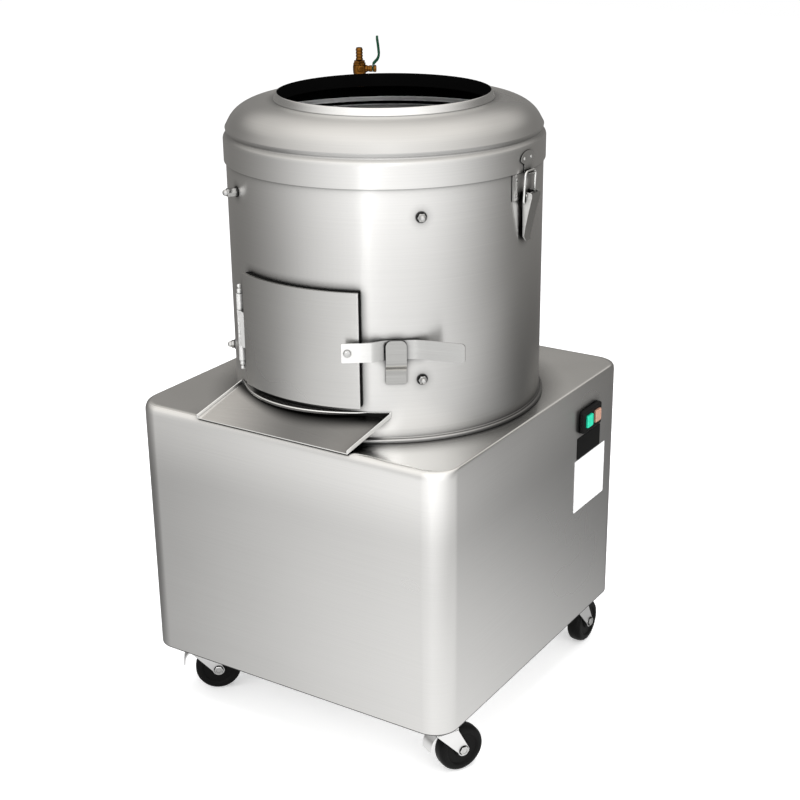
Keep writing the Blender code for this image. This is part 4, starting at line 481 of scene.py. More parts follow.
baseSizes = Values(halfX=0.27, halfY=0.2785, low=0.095, corner=0.037, frontBend=0.012, sideBend=0.003, sheet=0.0015,
                   flange=0.03, bendSteps=8, foldLine=0.0013, straight=0.004, edge=0.002, skin=0.001,
                   flat=0.8, upright=0.5)
rearSizes = Values(halfX=0.17, halfZ=0.11, centreZ=0.235, sheet=0.0015, slotX=0.11, slotZ=0.006, pitch=0.018,
                   slots=6, screw=0.0038, margin=0.008, holeX=0.158, holeZ=0.098, past=0.01)


def housingRings(inset):
    s = baseSizes
    low, top, bend = s.low + inset, deck - inset, s.frontBend - inset

    def setback(level, radius):
        height = level - (top - radius)
        return 0.0 if height <= 0 else radius - sqrt(max(radius * radius - height * height, 0.0))

    levels = [low, low + s.foldLine, low + s.straight, top - bend - s.straight, top - bend]
    levels += [top - bend + bend * sin(rightAngle * k / s.bendSteps) for k in range(1, s.bendSteps + 1)]
    rings = []
    for level in levels:
        halfX = s.halfX - inset - setback(level, s.sideBend - inset)
        halfY = s.halfY - inset - setback(level, bend)
        rings.append(atLevel(roundedOutline(halfX, halfY, s.corner - inset), level))
    return rings + [atLevel(roundedOutline(halfX - s.edge, halfY - s.edge, s.corner - inset - s.edge), top)]


def makeBase():
    s, r = baseSizes, rearSizes
    lip = roundedOutline(s.halfX - s.flange, s.halfY - s.flange, s.corner - s.flange)
    flange = [atLevel(lip, level) for level in (s.low, s.low + s.sheet)]
    shell = loft("baseShell", housingRings(0.0)[::-1] + flange + housingRings(s.sheet))
    cut(shell, box("cutRear", (-r.holeX, s.halfY - r.past, r.centreZ - r.holeZ),
                   (r.holeX, s.halfY + r.past, r.centreZ + r.holeZ)))

    # the lowest strip of the walls, along the bottom fold, is painted dark as shade
    def pick(face):
        if face.normal.z > s.flat and face.center.z > deck - s.skin:
            return 1
        return 2 if face.center.z < s.low + s.foldLine and abs(face.normal.z) < s.upright else 0

    seat(shell, ("baseSteel", "deckSteel", "darkSteel"), "frame", "base_housing", baseAt, pick=pick)


def makeRear():
    s, wall = rearSizes, baseSizes.halfY
    face, low, high = wall + gap + s.sheet, s.centreZ - s.halfZ, s.centreZ + s.halfZ
    cover = box("rearCover", (-s.halfX, wall + gap, low), (s.halfX, face, high))
    slots = []
    for row in range(s.slots):
        level = s.centreZ + (row - (s.slots - 1) / 2) * s.pitch
        outline = roundedOutline(s.slotX / 2, s.slotZ / 2, s.slotZ / 2 - 0.0001, 6, (0, level))
        slots.append(prism("cutSlot", outline, wall - s.past, wall + s.past, "Y"))
    seat(roundEdges(cut(cover, *slots), 0.0003), "wallSteel", "frame", "rear_cover", baseAt)
    screw = [(s.screw * share, rise) for share, rise in ((1, 0.0), (1, 0.0008), (0.8, 0.0019), (0.3, 0.0024))]
    heads = [shift(tip(turned("coverScrew", screw, 24, False), -90, "X"), x, face, z)
             for x in (s.margin - s.halfX, 0.0, s.halfX - s.margin) for z in (low + s.margin, high - s.margin)]
    seat(join("coverScrews", *heads), "brightSteel", "frame", None, baseAt)


makeBase()
makeRear()
print("base made")

drumSizes = Values(radius=0.23, wall=0.0015, low=deck + gap, rim=0.0045, ring=0.0055, ringHeight=0.0055,
                   liner=0.0022, linerLow=deck + 0.0133, linerDrop=0.012, linerMargin=0.002)
openSizes = Values(start=-114.9, sweep=48.8, low=deck + 0.0525, height=0.166, inset=0.008, inward=0.01, outward=0.006)
discSizes = Values(radius=0.2215, low=deck + 0.0323, thick=0.01, wave=0.0045, waves=3, hub=0.03, hubRise=0.006,
                   hubDrop=0.0085, bore=0.0103, steps=144, edgeWave=0.4, edgeDrop=0.002,
                   waveRise=((0.0, 0.0), (0.12, 0.2), (0.25, 0.6), (0.4, 0.85), (0.6, 1.0), (0.8, 0.95), (0.94, 0.6),
                             (0.99, 0.5)))


def openingCut(name, margin):
    s, radius = openSizes, drumSizes.radius
    start = radians(s.start) + (s.inset - margin) / radius
    end = radians(s.start + s.sweep) - (s.inset - margin) / radius
    return arcBlock(name, radius - s.inward, radius + s.outward, start, end, s.low + s.inset - margin,
                    s.low + s.height - s.inset + margin)


def makeDrum():
    s = drumSizes
    r, top = s.radius, drumTop
    inner, ring, foot = r - s.wall, r + s.ring, s.low + s.ringHeight
    shell = turned("drumWall", [
        (inner, s.low), (ring, s.low), (ring, foot - 0.0022), (ring - 0.0006, foot - 0.0008), (ring - 0.002, foot),
        (r + 0.0012, foot), (r, foot + 0.0012), (r, foot + 0.004), (r, top - 0.003), (r, top - 0.0008),
        (r - 0.0008, top), (inner - s.rim, top), (inner - s.rim, top - s.wall), (inner, top - s.wall)])
    # the drum's top rim takes a painted highlight
    seat(cut(shell, openingCut("cutOpening", 0.0)), ("wallSteel", "rimSteel"), "frame", "drum_shell", drumAt,
         pick=lambda face: int(face.center.z > top - s.wall * 1.1 and face.center.xy.length < inner))
    outer = inner - gap
    liner = turned("gritLiner", [(outer - s.liner, s.linerLow), (outer, s.linerLow), (outer, top - s.linerDrop),
                                 (outer - s.liner, top - s.linerDrop)])
    seat(cut(liner, openingCut("cutLiner", s.linerMargin)), "gritBlack", "frame", "abrasive_liner", drumAt)


def makeDisc():
    s = discSizes
    top, drop, neck = s.low + s.thick, s.low - s.hubDrop, s.hub - s.hubRise

    def wavy(radius, share, lower=0.0):
        return [(x, y, top + sin(s.waves * atan2(y, x)) * s.wave * share - lower)
                for x, y, z in circle(radius, 0, s.steps)]

    def level(radius, height):
        return circle(radius, height, s.steps)

    rings = [level(s.bore, top + s.hubRise), level(neck, top + s.hubRise),
             level(s.hub - s.hubRise * 0.3, top + s.hubRise - s.hubRise * 0.45)]
    rings += [wavy(s.hub + (s.radius - s.hub) * share, weight) for share, weight in s.waveRise]
    rings += [wavy(s.radius, s.edgeWave, s.edgeDrop), level(s.radius, s.low), level(s.hub, s.low), level(neck, drop),
              level(s.bore, drop)]
    seat(loft("gritDisc", rings, closed=True), "gritBlack", "turntable", "abrasive_disc", drumAt)


makeDrum()
makeDisc()

lidSizes = Values(sheet=0.0012, band=0.233, bandDrop=0.0345, groove=0.2272, grooveRise=0.0047, foot=0.2291,
                  footRise=0.0092, outer=0.2306, start=0.0083, rise=0.0482, mouth=0.158, sidePower=0.8, topPower=0.79,
                  steps=30, domeStart=0.26, lightRing=(0.004, 0.0115))
collarSizes = Values(foot=0.1592, top=0.155, bore=0.1535, height=0.01, leg=0.0095, sheet=0.0012)


def domeLevel(angle):
    s = lidSizes
    return drumTop - s.start + (s.rise + s.start) * sin(angle) ** s.topPower


def domePoint(share):
    s = lidSizes
    side = cos(rightAngle * share) ** s.sidePower
    return s.mouth + (s.outer - s.mouth) * side, domeLevel(rightAngle * share)


def inward(profile, sheet):
    moved = []
    for k, (radius, level) in enumerate(profile):
        before, after = profile[max(k - 1, 0)], profile[min(k + 1, len(profile) - 1)]
        run = Vector((after[0] - before[0], after[1] - before[1])).normalized()
        moved.append((radius - run.y * sheet, level + run.x * sheet))
    return moved


def makeLid():
    s, c = lidSizes, collarSizes
    lower = smoothPath([(s.band, -0.0033), (s.band - 0.0008, 0), (drumSizes.radius, 0.0021), (s.groove, s.grooveRise),
                        (s.groove + 0.0004, s.grooveRise + 0.0016), (s.foot, s.footRise),
                        (s.foot + 0.0005, s.footRise + 0.003)])
    profile = lift([(s.band, -s.bandDrop), (s.band, 0.002 - s.bandDrop)] + lower, drumTop)
    profile += [domePoint(s.domeStart + (1 - s.domeStart) * k / s.steps) for k in range(1, s.steps)]
    profile.append((c.top, drumTop + s.rise))
    hood = turned("hoodDome", profile + inward(profile, s.sheet)[::-1])

    # inside, the hood is painted black as shade, with a ring of painted highlight
    def pick(face):
        height = face.center.z - drumTop
        if min(face.vertices) // around < len(profile):
            return 3 if height > s.footRise else 0
        return 2 if s.lightRing[0] < height < s.lightRing[1] else 1

    seat(hood, ("wallSteel", "innerDark", "rimSteel", "domeSteel"), "lid", "lid_hood", drumAt, sharp=50, pick=pick)
    low, leg = drumTop + s.rise + gap, c.bore + c.sheet
    collar = turned("mouthRim", lift([
        (c.foot, 0), (c.foot - 0.001, 0.0022), (c.foot - 0.0026, 0.006), (c.top + 0.0002, c.height - 0.0008),
        (c.top - 0.0005, c.height), (c.bore + 0.0002, c.height), (c.bore, c.height - 0.0003), (c.bore, -c.leg),
        (leg, -c.leg), (leg, 0)], low))
    # the collar's inner faces are painted black as shade
    seat(collar, ("brightSteel", "innerDark"), "lid", "mouth_collar", drumAt, sharp=50,
         pick=lambda face: int(face.center.xy.dot(face.normal.xy) < -0.01 or face.center.z < low - 0.0005))


makeLid()
print("drum and lid made")

doorSizes = Values(radius=0.2405, sheet=0.0014, fold=0.0092, edge=0.0005, past=0.004)
sealSizes = Values(thick=0.0052, wide=0.007, left=0.0015, right=0.0014, low=0.0018, high=0.0006, past=0.006)
hingeSizes = Values(angle=radians(-119.8), radius=0.236, knuckle=0.005, low=deck + 0.082, outer=0.0237,
                    middle=0.0525, pin=0.0028, finial=0.014, tip=0.0038, edge=0.0007, leafBack=0.013,
                    leafReach=(-0.0025, -0.0065, -0.0025), leafThick=0.0018, tabStart=0.0125, tab=(0.0024, 0.0044),
                    weldSteps=24, weld=0.0019, weldWaves=((0.0005, 39), (0.0003, 83)), weldThin=0.0006,
                    weldEnd=0.0065)


def makeDoor():
    s, o, e = doorSizes, openSizes, sealSizes
    start, end = radians(o.start), radians(o.start + o.sweep)
    low, high, inner, lapse = o.low, o.low + o.height, s.radius - s.fold, s.sheet / s.radius
    tray = arcBlock("doorTray", inner, s.radius, start, end, low, high)
    cut(tray, arcBlock("cutTray", inner - s.past, s.radius - s.sheet, start + lapse, end - lapse, low + s.sheet,
                       high - s.sheet))
    seat(roundEdges(tray, s.edge, 60), "doorSteel", "door", "door_panel", drumAt)
    inner, outer = drumSizes.radius + gap, drumSizes.radius + e.thick
    wide, end = e.wide / drumSizes.radius, end + e.right / drumSizes.radius
    start += e.left / drumSizes.radius + lapse
    seal = arcBlock("doorSeal", inner, outer, start, end, low + e.low, high + e.high)
    cut(seal, arcBlock("cutSeal", inner - e.past, outer + e.past, start + wide,
                       end - wide - e.right / drumSizes.radius, low + e.wide, high - e.wide))
    seat(seal, "blackRubber", "frame", "door_seal", drumAt)


def makeHinge():
    s, wall = hingeSizes, drumSizes.radius
    bottom = s.low
    middle = bottom + s.outer + gap
    upper = middle + s.middle + gap
    top = upper + s.outer

    def knuckle(name, low, high):
        r, e = s.knuckle, s.edge
        half = [(s.pin + gap, 0), (r - e, 0), (r - e * 0.3, e * 0.3), (r, e)]
        return shift(turned(name, lift(half, low) + [(a, high - b) for a, b in half[::-1]], 40), s.radius)

    def finish(piece, body, node):
        seat(piece, "hingeSteel", body, node, drumAt, s.angle)

    spans = ((bottom + gap, middle - gap), (middle - gap, upper + gap), (upper + gap, top - gap))
    leaves = [arcBlock("leafBack", wall + gap, wall + s.leafThick, -s.leafBack / wall, reach / wall, low, high, 10)
              for (low, high), reach in zip(spans, s.leafReach)]
    finish(join("hingeLeaf", knuckle("lowKnuckle", bottom, bottom + s.outer), knuckle("topKnuckle", upper, top),
                *leaves), "frame", "hinge_leaf")
    tabEnd = radians(openSizes.start) - s.angle - gap / wall
    tab = arcBlock("doorTab", s.radius + s.tab[0], s.radius + s.tab[1], s.tabStart, tabEnd, middle,
                   middle + s.middle, 8)
    # the weld that holds the knuckle to the door
    weld = [(0.0004, 0.006)]
    for k in range(s.weldSteps + 1):
        share = k / s.weldSteps
        ripple = sum((tall * sin(share * often) for tall, often in s.weldWaves), s.weld)
        swell = sin(pi * share) ** 0.4 * ripple
        weld.append((max(swell, s.weldThin), s.weldEnd + (s.middle - 2 * s.weldEnd) * share))
    weld.append((0.0004, s.middle - 0.006))
    bead = shift(turned("hingeWeld", lift(weld, middle), 20, False), s.radius + s.tab[1], s.knuckle * 0.95)
    finish(join("hingeKnuckle", knuckle("midKnuckle", middle, middle + s.middle), tab, bead), "door", "hinge_knuckle")
    neck, ball = s.pin * 0.62, s.tip
    shape = [(0.0008, 0.0), (0.0022, 0.0006), (0.003, 0.002), (0.0031, 0.0034), (0.0024, 0.005), (neck, 0.0058),
             (neck, 0.0066), (ball * 0.75, 0.0072), (ball, 0.0084), (ball, 0.011), (ball * 0.92, 0.0132)]
    profile = lift(shape, bottom - s.finial) + [(s.pin, bottom - gap), (s.pin, top + gap)]
    profile += [(r, top + s.finial - z) for r, z in shape[::-1]]
    finish(shift(turned("hingePin", profile, 32, False), s.radius), "frame", "hinge_pin")


makeDoor()
makeHinge()

strapSizes = Values(angle=radians(-54), height=0.0275, thick=0.0022, level=deck + 0.137, front=0.2425, dip=0.2337,
                    flare=0.259, left=-0.075, rampStart=-0.033, rampEnd=-0.016, flareStart=0.028, right=0.092,
                    round=0.005, pivot=-0.0668, corner=0.0015)
rivetSizes = Values(foot=0.0062, footDrop=0.018, neck=0.004, half=0.00125, past=0.02,
                    head=((0.005, 0.0), (0.005, 0.0007), (0.0046, 0.0013), (0.0036, 0.0018), (0.0012, 0.002)))
hookSizes = Values(width=0.0287, thick=0.002, low=deck + 0.087, fold=0.0245, height=0.064, slot=0.0068, round=0.0085)


# How far back from a rounded end each station lies, and how much narrower it is
def roundEnd(radius, steps):
    turns = [rightAngle * k / steps for k in range(steps + 1)]
    return [(radius * (1 - sin(a)), radius * (1 - cos(a))) for a in turns]


def makeStrap():
    s, v = strapSizes, rivetSizes
    low, high = s.level - s.height / 2, s.level + s.height / 2
    slope = (s.flare - s.dip) / (s.right - s.flareStart)
    path = smoothPath([
        (s.left, s.front), (s.rampStart - 0.004, s.front), (s.rampStart, s.front), (s.rampEnd, s.dip),
        (s.rampEnd + 0.006, s.dip), (s.flareStart - 0.008, s.dip), (s.flareStart, s.dip + 0.0004),
        (s.flareStart + 0.012, s.dip + slope * 0.012)])
    stations = []
    for a in (0.0, 0.5, 1.0, rightAngle):
        trim = s.corner * (1 - sin(a))
        stations.append((s.left + s.corner * (1 - cos(a)), s.front, low + trim, high - trim))
    stations += [(a, b, low, high) for a, b in path[1:]]
    for back, trim in roundEnd(s.round, 8):
        along = s.right - back
        stations.append((along, s.dip + slope * (along - s.flareStart), low + trim, high - trim))
    strap = roundEdges(strip("latchStrap", stations, s.thick, "YXZ"), 0.0004, 50)
    seat(strap, "strapSteel", "strap", "latch_strap", drumAt, s.angle)
    stud = [(v.foot, -v.footDrop), (v.foot, -v.half - gap), (v.neck, -v.half - gap), (v.neck, v.half + gap)]
    stud += [(r, v.half + (z or gap)) for r, z in v.head]
    rivet = shift(tip(turned("strapStud", stud, 40, False), 90), s.front, s.pivot, s.level)
    face = doorSizes.radius + gap
    cut(rivet, shift(turned("cutStud", [(face, -v.past), (face, v.past)], 360, False), z=s.level))
    seat(rivet, "nutSteel", "door", "strap_rivet", drumAt, s.angle)


def makeHook():
    s, half = hookSizes, hookSizes.width / 2
    back = drumSizes.radius + gap + s.thick / 2
    face = drumSizes.radius + s.slot + s.thick / 2
    fold, rise, top = s.low + s.fold, face - back, s.low + s.height
    path = smoothPath([(back, s.low + 0.006), (back, fold - rise / 2), (face, fold + rise / 2),
                       (face, fold + rise / 2 + 0.008)])
    stations = [(back, s.low, 0.0008 - half, half - 0.0008), (back, s.low + 0.0008, -half, half)]
    stations += [(a, b, -half, half) for a, b in path]
    stations += [(face, top - drop, trim - half, half - trim) for drop, trim in roundEnd(s.round, 10)]
    hook = roundEdges(strip("catchHook", stations, s.thick), 0.0004, 50)
    seat(hook, "clipSteel", "frame", "catch_hook", drumAt, strapSizes.angle)


makeStrap()
makeHook()
print("door made")

chuteSizes = Values(start=radians(-125.9), end=radians(-55.8), shear=0.45, setback=0.002, drop=0.0015,
                    rise=0.037, sheet=0.0015, lip=0.006, steps=72, sillLow=0.0395, sillHeight=0.005, sillReach=0.015,
                    sillMiddle=radians(-93.5), sillHalf=radians(29.5), edge=0.0004, soft=0.0012)


def makeChute():
    s, e = chuteSizes, chuteSizes.edge
    front, radius = s.setback - baseSizes.halfY, drumSizes.radius + gap
    offset, run = drumAt - baseAt, Vector((-s.shear, -1.0)).normalized()

    # an upright section: front edge, slope, sill and back
    def section(angle, height):
        wall = Vector((offset.x + radius * cos(angle), offset.y + radius * sin(angle)))
        edge = Vector((wall.x - s.shear * (wall.y - front), front))
        turn = (angle - s.sillMiddle) / s.sillHalf
        reach = s.sheet * 0.8 + s.sillReach * max(1 - turn * turn, 0.0)
        soft = min(s.soft, reach * 0.3)
        low, high = deck - s.drop, deck + s.rise
        under = max(deck + s.sillLow, high + height + gap)
        top = max(deck + s.sillLow + s.sillHeight, under + s.sheet)
        inside, foot, outer, back = edge - run * e, wall + run * s.sheet * 0.6, wall + run * reach, run * soft
        return [(inside.x, inside.y, low), (edge.x, edge.y, low + e), (edge.x, edge.y, low + height - e),
                (inside.x, inside.y, low + height), (foot.x, foot.y, high + height), (*(outer - back), under),
                (*outer, under + soft), (*outer, top - soft), (*(outer - back), top), (*wall, top), (*wall, high)]

    left, right = [s.sheet / abs(radius * sin(angle)) for angle in (s.start, s.end)]
    first, last = s.start + left, s.end - right
    rings = [section(s.start, s.lip - e), section(s.start + left * 0.25, s.lip), section(first - left * 0.35, s.lip),
             section(first - left * 0.1, s.lip - e)]
    rings += [section(first + (last - first) * k / s.steps, s.sheet) for k in range(s.steps + 1)]
    rings += [section(last + right * 0.1, s.lip - e), section(last + right * 0.35, s.lip),
              section(s.end - right * 0.25, s.lip), section(s.end, s.lip - e)]
    count = len(rings[0])

    # the front edge, the side lips and the sill's rounded edge take a painted highlight; the sill's top takes the
    # door's steel, whose painted shade is shallower
    def pick(face):
        rows, places = {v // count for v in face.vertices}, {v % count for v in face.vertices}
        inField = 4 <= min(rows) and max(rows) <= s.steps + 4
        if not inField or places <= {0, 1, 2, 3} or places <= {7, 8}:
            return 1
        return 2 if places <= {8, 9} else 0

    seat(loft("chuteTray", rings), ("chuteSteel", "hemSteel", "doorSteel"), "frame", "discharge_chute", baseAt,
         sharp=30, pick=pick)


makeChute()

latchSizes = Values(hookHalf=0.019, hookWaist=0.009, sheet=0.0012, top=drumTop - 0.006, hookHeight=0.03, ledge=0.008,
                    wire=0.0016, bailHalf=0.0165, bailHeight=0.043, lean=0.002, corner=0.006, plateHalf=0.033,
                    plateHeight=0.0367, plateSheet=0.0015, ear=0.0095, earSheet=0.0013, earRadius=0.004, pin=0.0015,
                    standoff=0.009, pinRise=0.0105, leverHalf=0.0123, leverTop=0.004, leverLength=0.063,
                    leverDepth=0.015, leverBack=0.0055, tab=0.007, flare=0.0025, hookStud=0.0095, plateStud=0.0245,
                    neck=(0.35, 0.42, 0.48, 0.54, 0.6), studRise=0.66, plateGap=0.0008, earRoot=0.004,
                    studInset=0.007, narrow=0.2, endStart=0.9, endNarrow=0.35,
                    stud=((0.0026, 0.0), (0.0024, 0.0006), (0.0015, 0.0011), (0.0004, 0.0013)))


def makeLatchHook(side, turn, low, middle, ledge):
    s = latchSizes
    waist, high = s.hookWaist, s.hookHeight
    path = smoothPath([(ledge, low), (middle + 0.0025, low), (middle, low), (middle, low + 0.003),
                       (middle, low + 0.006)])
    stations = [(a, b, -waist, waist) for a, b in path]
    for share in s.neck:
        lean = (share - s.neck[0]) / (s.neck[-1] - s.neck[0])
        wide = waist + (s.hookHalf - waist) * lean * lean * (3 - 2 * lean)
        stations.append((middle, low + high * share, -wide, wide))
    for k in range(1, 13):
        angle = rightAngle * k / 12 * 0.97
        wide = s.hookHalf * cos(angle)
        stations.append((middle, low + high * (s.neck[-1] + (1 - s.neck[-1]) * sin(angle)), -wide, wide))
    hook = roundEdges(strip("latchHook" + side, stations, s.sheet), 0.0003, 50)
    seat(hook, "fittingSteel", "lid", "lid_hook_" + side.lower(), drumAt, turn)
    studs = [shift(tip(turned("hookStud", s.stud, 24, False), 90), middle + s.sheet / 2, y, low + high * s.studRise)
             for y in (-s.hookStud, s.hookStud)]
    seat(join("hookStuds" + side, *studs), "brightSteel", "lid", None, drumAt, turn)


def makeLatchBase(side, turn, pinX, pinZ):
    s = latchSizes
    inner, high = drumSizes.radius + gap, drumTop - lidSizes.bandDrop - s.plateGap
    outer, low, halfAngle = inner + s.plateSheet, high - s.plateHeight, s.plateHalf / drumSizes.radius
    plate = arcBlock("latchPlate" + side, inner, outer, -halfAngle, halfAngle, low, high, 24)
    parts = [mark(roundEdges(plate, 0.0004), 1)]
    for sign in (-1, 1):
        foot, root = inner + s.plateSheet / 2, inner + s.earRoot
        outline = [(foot, pinZ - s.earRadius * 1.6), (root, pinZ - s.earRadius)]
        outline += arcPoints((pinX, pinZ), s.earRadius, -rightAngle, rightAngle, 14)
        outline += [(root, pinZ + s.earRadius), (foot, pinZ + s.earRadius * 1.6)]
        ends = sorted((sign * s.ear, sign * (s.ear + s.earSheet)))
        parts.append(roundEdges(prism("latchEar", outline, *ends, "Y"), 0.0002))
        for z in (low + s.studInset, high - s.studInset):
            stud = shift(tip(turned("plateStud", s.stud, 24, False), 90), outer, 0, z)
            parts.append(tip(stud, degrees(sign * s.plateStud / drumSizes.radius), "Z"))
    half = s.leverHalf
    ends = [(s.pin * 0.7, half + 0.0013), (s.pin * 1.5, half + 0.0008), (s.pin * 1.5, half + 0.0002),
            (s.pin, half + 0.0002)]
    rod = turned("latchPin", [(r, -z) for r, z in ends] + ends[::-1], 20, False)
    parts.append(shift(tip(rod, 90, "X"), pinX, 0, pinZ))
    seat(join("latchBase" + side, *parts), ("fittingSteel", "wallSteel"), "frame", "latch_base_" + side.lower(),
         drumAt, turn)


def makeLatchLever(side, turn, pinX, pinZ):
    s = latchSizes
    back, top, t = pinX - s.leverBack, pinZ + s.leverTop, s.sheet
    front, bottom, behind = back + s.leverDepth, top - s.leverLength, back - 0.006
    outline = [(back, top - 0.004), (back + 0.0012, top - 0.0012), (back + 0.004, top), (front - 0.004, top),
               (front - 0.0015, top - 0.0009), (front - 0.0002, top - 0.003), (front - 0.0001, top - 0.006)]
    outline += [(back + 2 * t + (front - back - 2 * t) * (1 - k / 8) ** 1.15,
                 top - 0.006 - (s.leverLength - 0.006) * k / 8) for k in range(1, 9)]
    outline += [(back + t + s.flare, bottom - s.tab), (back + s.flare, bottom - s.tab), (back, bottom)]
    lever = prism("latchLever" + side, outline, -s.leverHalf, s.leverHalf, "Y")
    inside = [(behind, top + 0.006), (front - t * 1.2, top + 0.006), (front - t * 1.2, top - 0.004),
              (back + t, bottom + t * 3), (behind, bottom + t * 3)]
    cut(lever, prism("cutLever", inside, t - s.leverHalf, s.leverHalf - t, "Y"))
    # narrows to the rounded lower end
    for vertex in lever.data.vertices:
        share = min(max((top - vertex.co.z) / (s.leverLength + s.tab), 0), 1)
        vertex.co.y *= 1 - s.narrow * share ** 2
        if share > s.endStart:
            vertex.co.y *= 1 - s.endNarrow * ((share - s.endStart) / (1 - s.endStart)) ** 2
    low = side.lower()
    # the lever's outward face takes a darker copy of its steel, painted shade
    seat(roundEdges(lever, 0.0005, 50), ("fittingSteel", "leverSteel"), "lever_" + low, "latch_lever_" + low, drumAt,
         turn, pick=lambda face: int(face.normal.x > 0.75))


def makeLatch(side, turn):
    s = latchSizes
    plateIn, low = lidSizes.band + gap, s.top - s.hookHeight
    middle, ledge = plateIn + s.sheet / 2, plateIn + s.sheet + s.ledge
    barX, barZ = (middle + ledge) / 2 + s.sheet / 2, low + s.sheet / 2 + s.wire + gap
    endX, endZ = barX - s.lean, barZ - s.bailHeight
    pinX, pinZ = drumSizes.radius + s.standoff, endZ + s.pinRise
    makeLatchHook(side, turn, low, middle, ledge)
    makeLatchBase(side, turn, pinX, pinZ)
    makeLatchLever(side, turn, pinX, pinZ)
    sideY, corner, low = s.bailHalf - s.wire, s.corner, side.lower()
    half = [(endX, s.sheet - s.leverHalf, endZ), (endX, 0.0025 - sideY, endZ), (endX, 0.0007 - sideY, endZ + 0.0007),
            (endX, -sideY, endZ + 0.0025), (barX, -sideY, barZ - corner)]
    half += [(barX, b, c) for b, c in arcPoints((corner - sideY, barZ - corner), corner, pi, rightAngle, 10)[1:]]
    bail = sweep("latchBail" + side, half + [(a, -b, c) for a, b, c in half[::-1]], s.wire, 16)
    seat(bail, "brightSteel", "bail_" + low, "latch_bail_" + low, drumAt, turn)


makeLatch("Right", 0.0)
makeLatch("Left", pi)
print("latches made")

valveSizes = Values(angle=radians(134.3), out=0.194, facing=radians(32.8), nipple=0.007, drop=0.011,
                    rise=0.0072, nut=0.011, nutHeight=0.004, body=0.0103, height=0.018, bore=0.0035, stem=0.0045,
                    reach=0.0195, barb=0.0057, root=0.0046, barbLength=0.023, barbs=5)
leverSizes = Values(thick=0.002, half=0.005, out=0.01, elbow=0.0175, tall=0.05, round=0.004, sleeve=0.0018)


def makeValve():
    s = valveSizes
    share = (s.out - lidSizes.mouth) / (lidSizes.outer - lidSizes.mouth)
    dome = domeLevel(acos(share ** (1 / lidSizes.sidePower)))
    centre = drumAt + Vector((s.out * cos(s.angle), s.out * sin(s.angle), 0))
    low, high = dome + s.rise, dome + s.rise + s.height
    mid, ring, r, under = (low + high) / 2, s.height / 4, s.body, low - s.nutHeight

    def finish(piece, body="lid", node=None, brass=True):
        look, slot = ("brassMetal", "brass") if brass else ("greenVinyl", "green_vinyl")
        seat(piece, look, body, node, centre, s.facing)

    body = turned("valveBody", [
        (s.bore, dome - s.drop), (s.nipple, dome - s.drop), (s.nipple, under), (s.nut * 0.93, under),
        (-s.nut * 0.97, under + 0.0005), (-s.nut, low - 0.003), (-s.nut, low - 0.0006), (s.nut * 0.95, low),
        (r * 0.86, low + 0.0003), (r * 0.96, low + ring * 0.6), (r, low + ring * 1.3), (r, high - ring * 1.3),
        (r * 0.96, high - ring * 0.75), (r * 0.86, high - ring * 0.55), (-r * 0.92, high - ring * 0.5),
        (-r * 0.92, high - 0.0006), (r * 0.9, high), (s.bore, high)], 72)
    stem = turned("valveStem", [
        (s.stem * 1.25, r * 0.5), (s.stem * 1.25, r + 0.0015), (s.stem, r + 0.0022), (s.stem, r + 0.0045),
        (s.stem * 1.15, r + 0.0052), (s.stem * 1.15, s.reach - 0.0006), (s.stem, s.reach), (s.stem * 0.6, s.reach),
        (s.stem * 0.6, s.reach + 0.006), (s.stem * 0.4, s.reach + 0.0065)], 72, False)
    finish(join("valveBodyBrass", body, shift(tip(stem, 90), z=mid)), "lid", "valve_body")
    bottom, pitch = high + gap, s.barbLength / s.barbs
    profile = [(s.bore, 0), (-r * 0.8, 0), (-r * 0.8, pitch * 0.6), (r * 0.74, pitch * 0.75), (s.root, pitch * 0.8)]
    for k in range(1, s.barbs):
        profile += [(s.barb, pitch * (k + 0.08)), (s.barb * 0.99, pitch * (k + 0.22)), (s.root, pitch * (k + 0.82))]
    profile += [(s.root * 0.95, s.barbLength), (s.bore, s.barbLength)]
    finish(turned("hoseBarb", lift(profile, bottom), 72), "lid", "hose_barb")

    v = leverSizes
    root, half = s.reach + gap + v.thick / 2, v.half
    path = smoothPath([(root, 0.004), (root, half * 1.6), (root + v.out, v.elbow), (root + v.out * 0.85, v.elbow * 2),
                       (root + v.out * 0.7, v.tall - v.round)])
    stations = []
    for a in (0.05, 0.4, 0.8, 1.2, rightAngle):
        wide = half * max(sin(a), 0.2)
        stations.append((root, mid - half * cos(a), -wide, wide))
    stations += [(a, b, -half, half) for a, b in lift(path, mid)]
    for k in range(1, 9):
        angle = rightAngle * k / 8
        wide = half * max(cos(angle), 0.25)
        stations.append((root + v.out * 0.7, mid + v.tall - v.round * (1 - sin(angle)), -wide, wide))
    handle = roundEdges(strip("valveLever", stations, v.thick), 0.0006, 50)
    finish(handle, "valve_lever", "valve_handle", False)
    above = [(a, b - 0.0006, c * 1.1, d * 1.1) for a, b, c, d in stations if b > mid + half * 1.5]
    finish(roundEdges(strip("leverSleeve", above, v.thick + v.sleeve), 0.001, 50), "valve_lever", None, False)
    nut = turned("valveNut", lift([(s.stem * 0.7, v.thick / 2), (-0.005, v.thick / 2 + 0.0002), (-0.0052, 0.004),
                                   (0.0048, 0.0052), (s.stem * 0.7, 0.0055)], root), 72)
    finish(shift(tip(nut, 90), z=mid), "valve_lever")


makeValve()

switchSizes = Values(centreY=0.1605, drop=0.061, width=0.063, height=0.0365, flange=0.0075, keyWide=0.019,
                     keyTall=0.02, proud=0.0035, sink=0.004, pitch=0.028, depth=0.03)
plateSizes = Values(black=(0.123, 0.203, 0.38, 0.415), white=(0.116, 0.222, 0.291, 0.3785), thick=0.0006, round=0.0015)


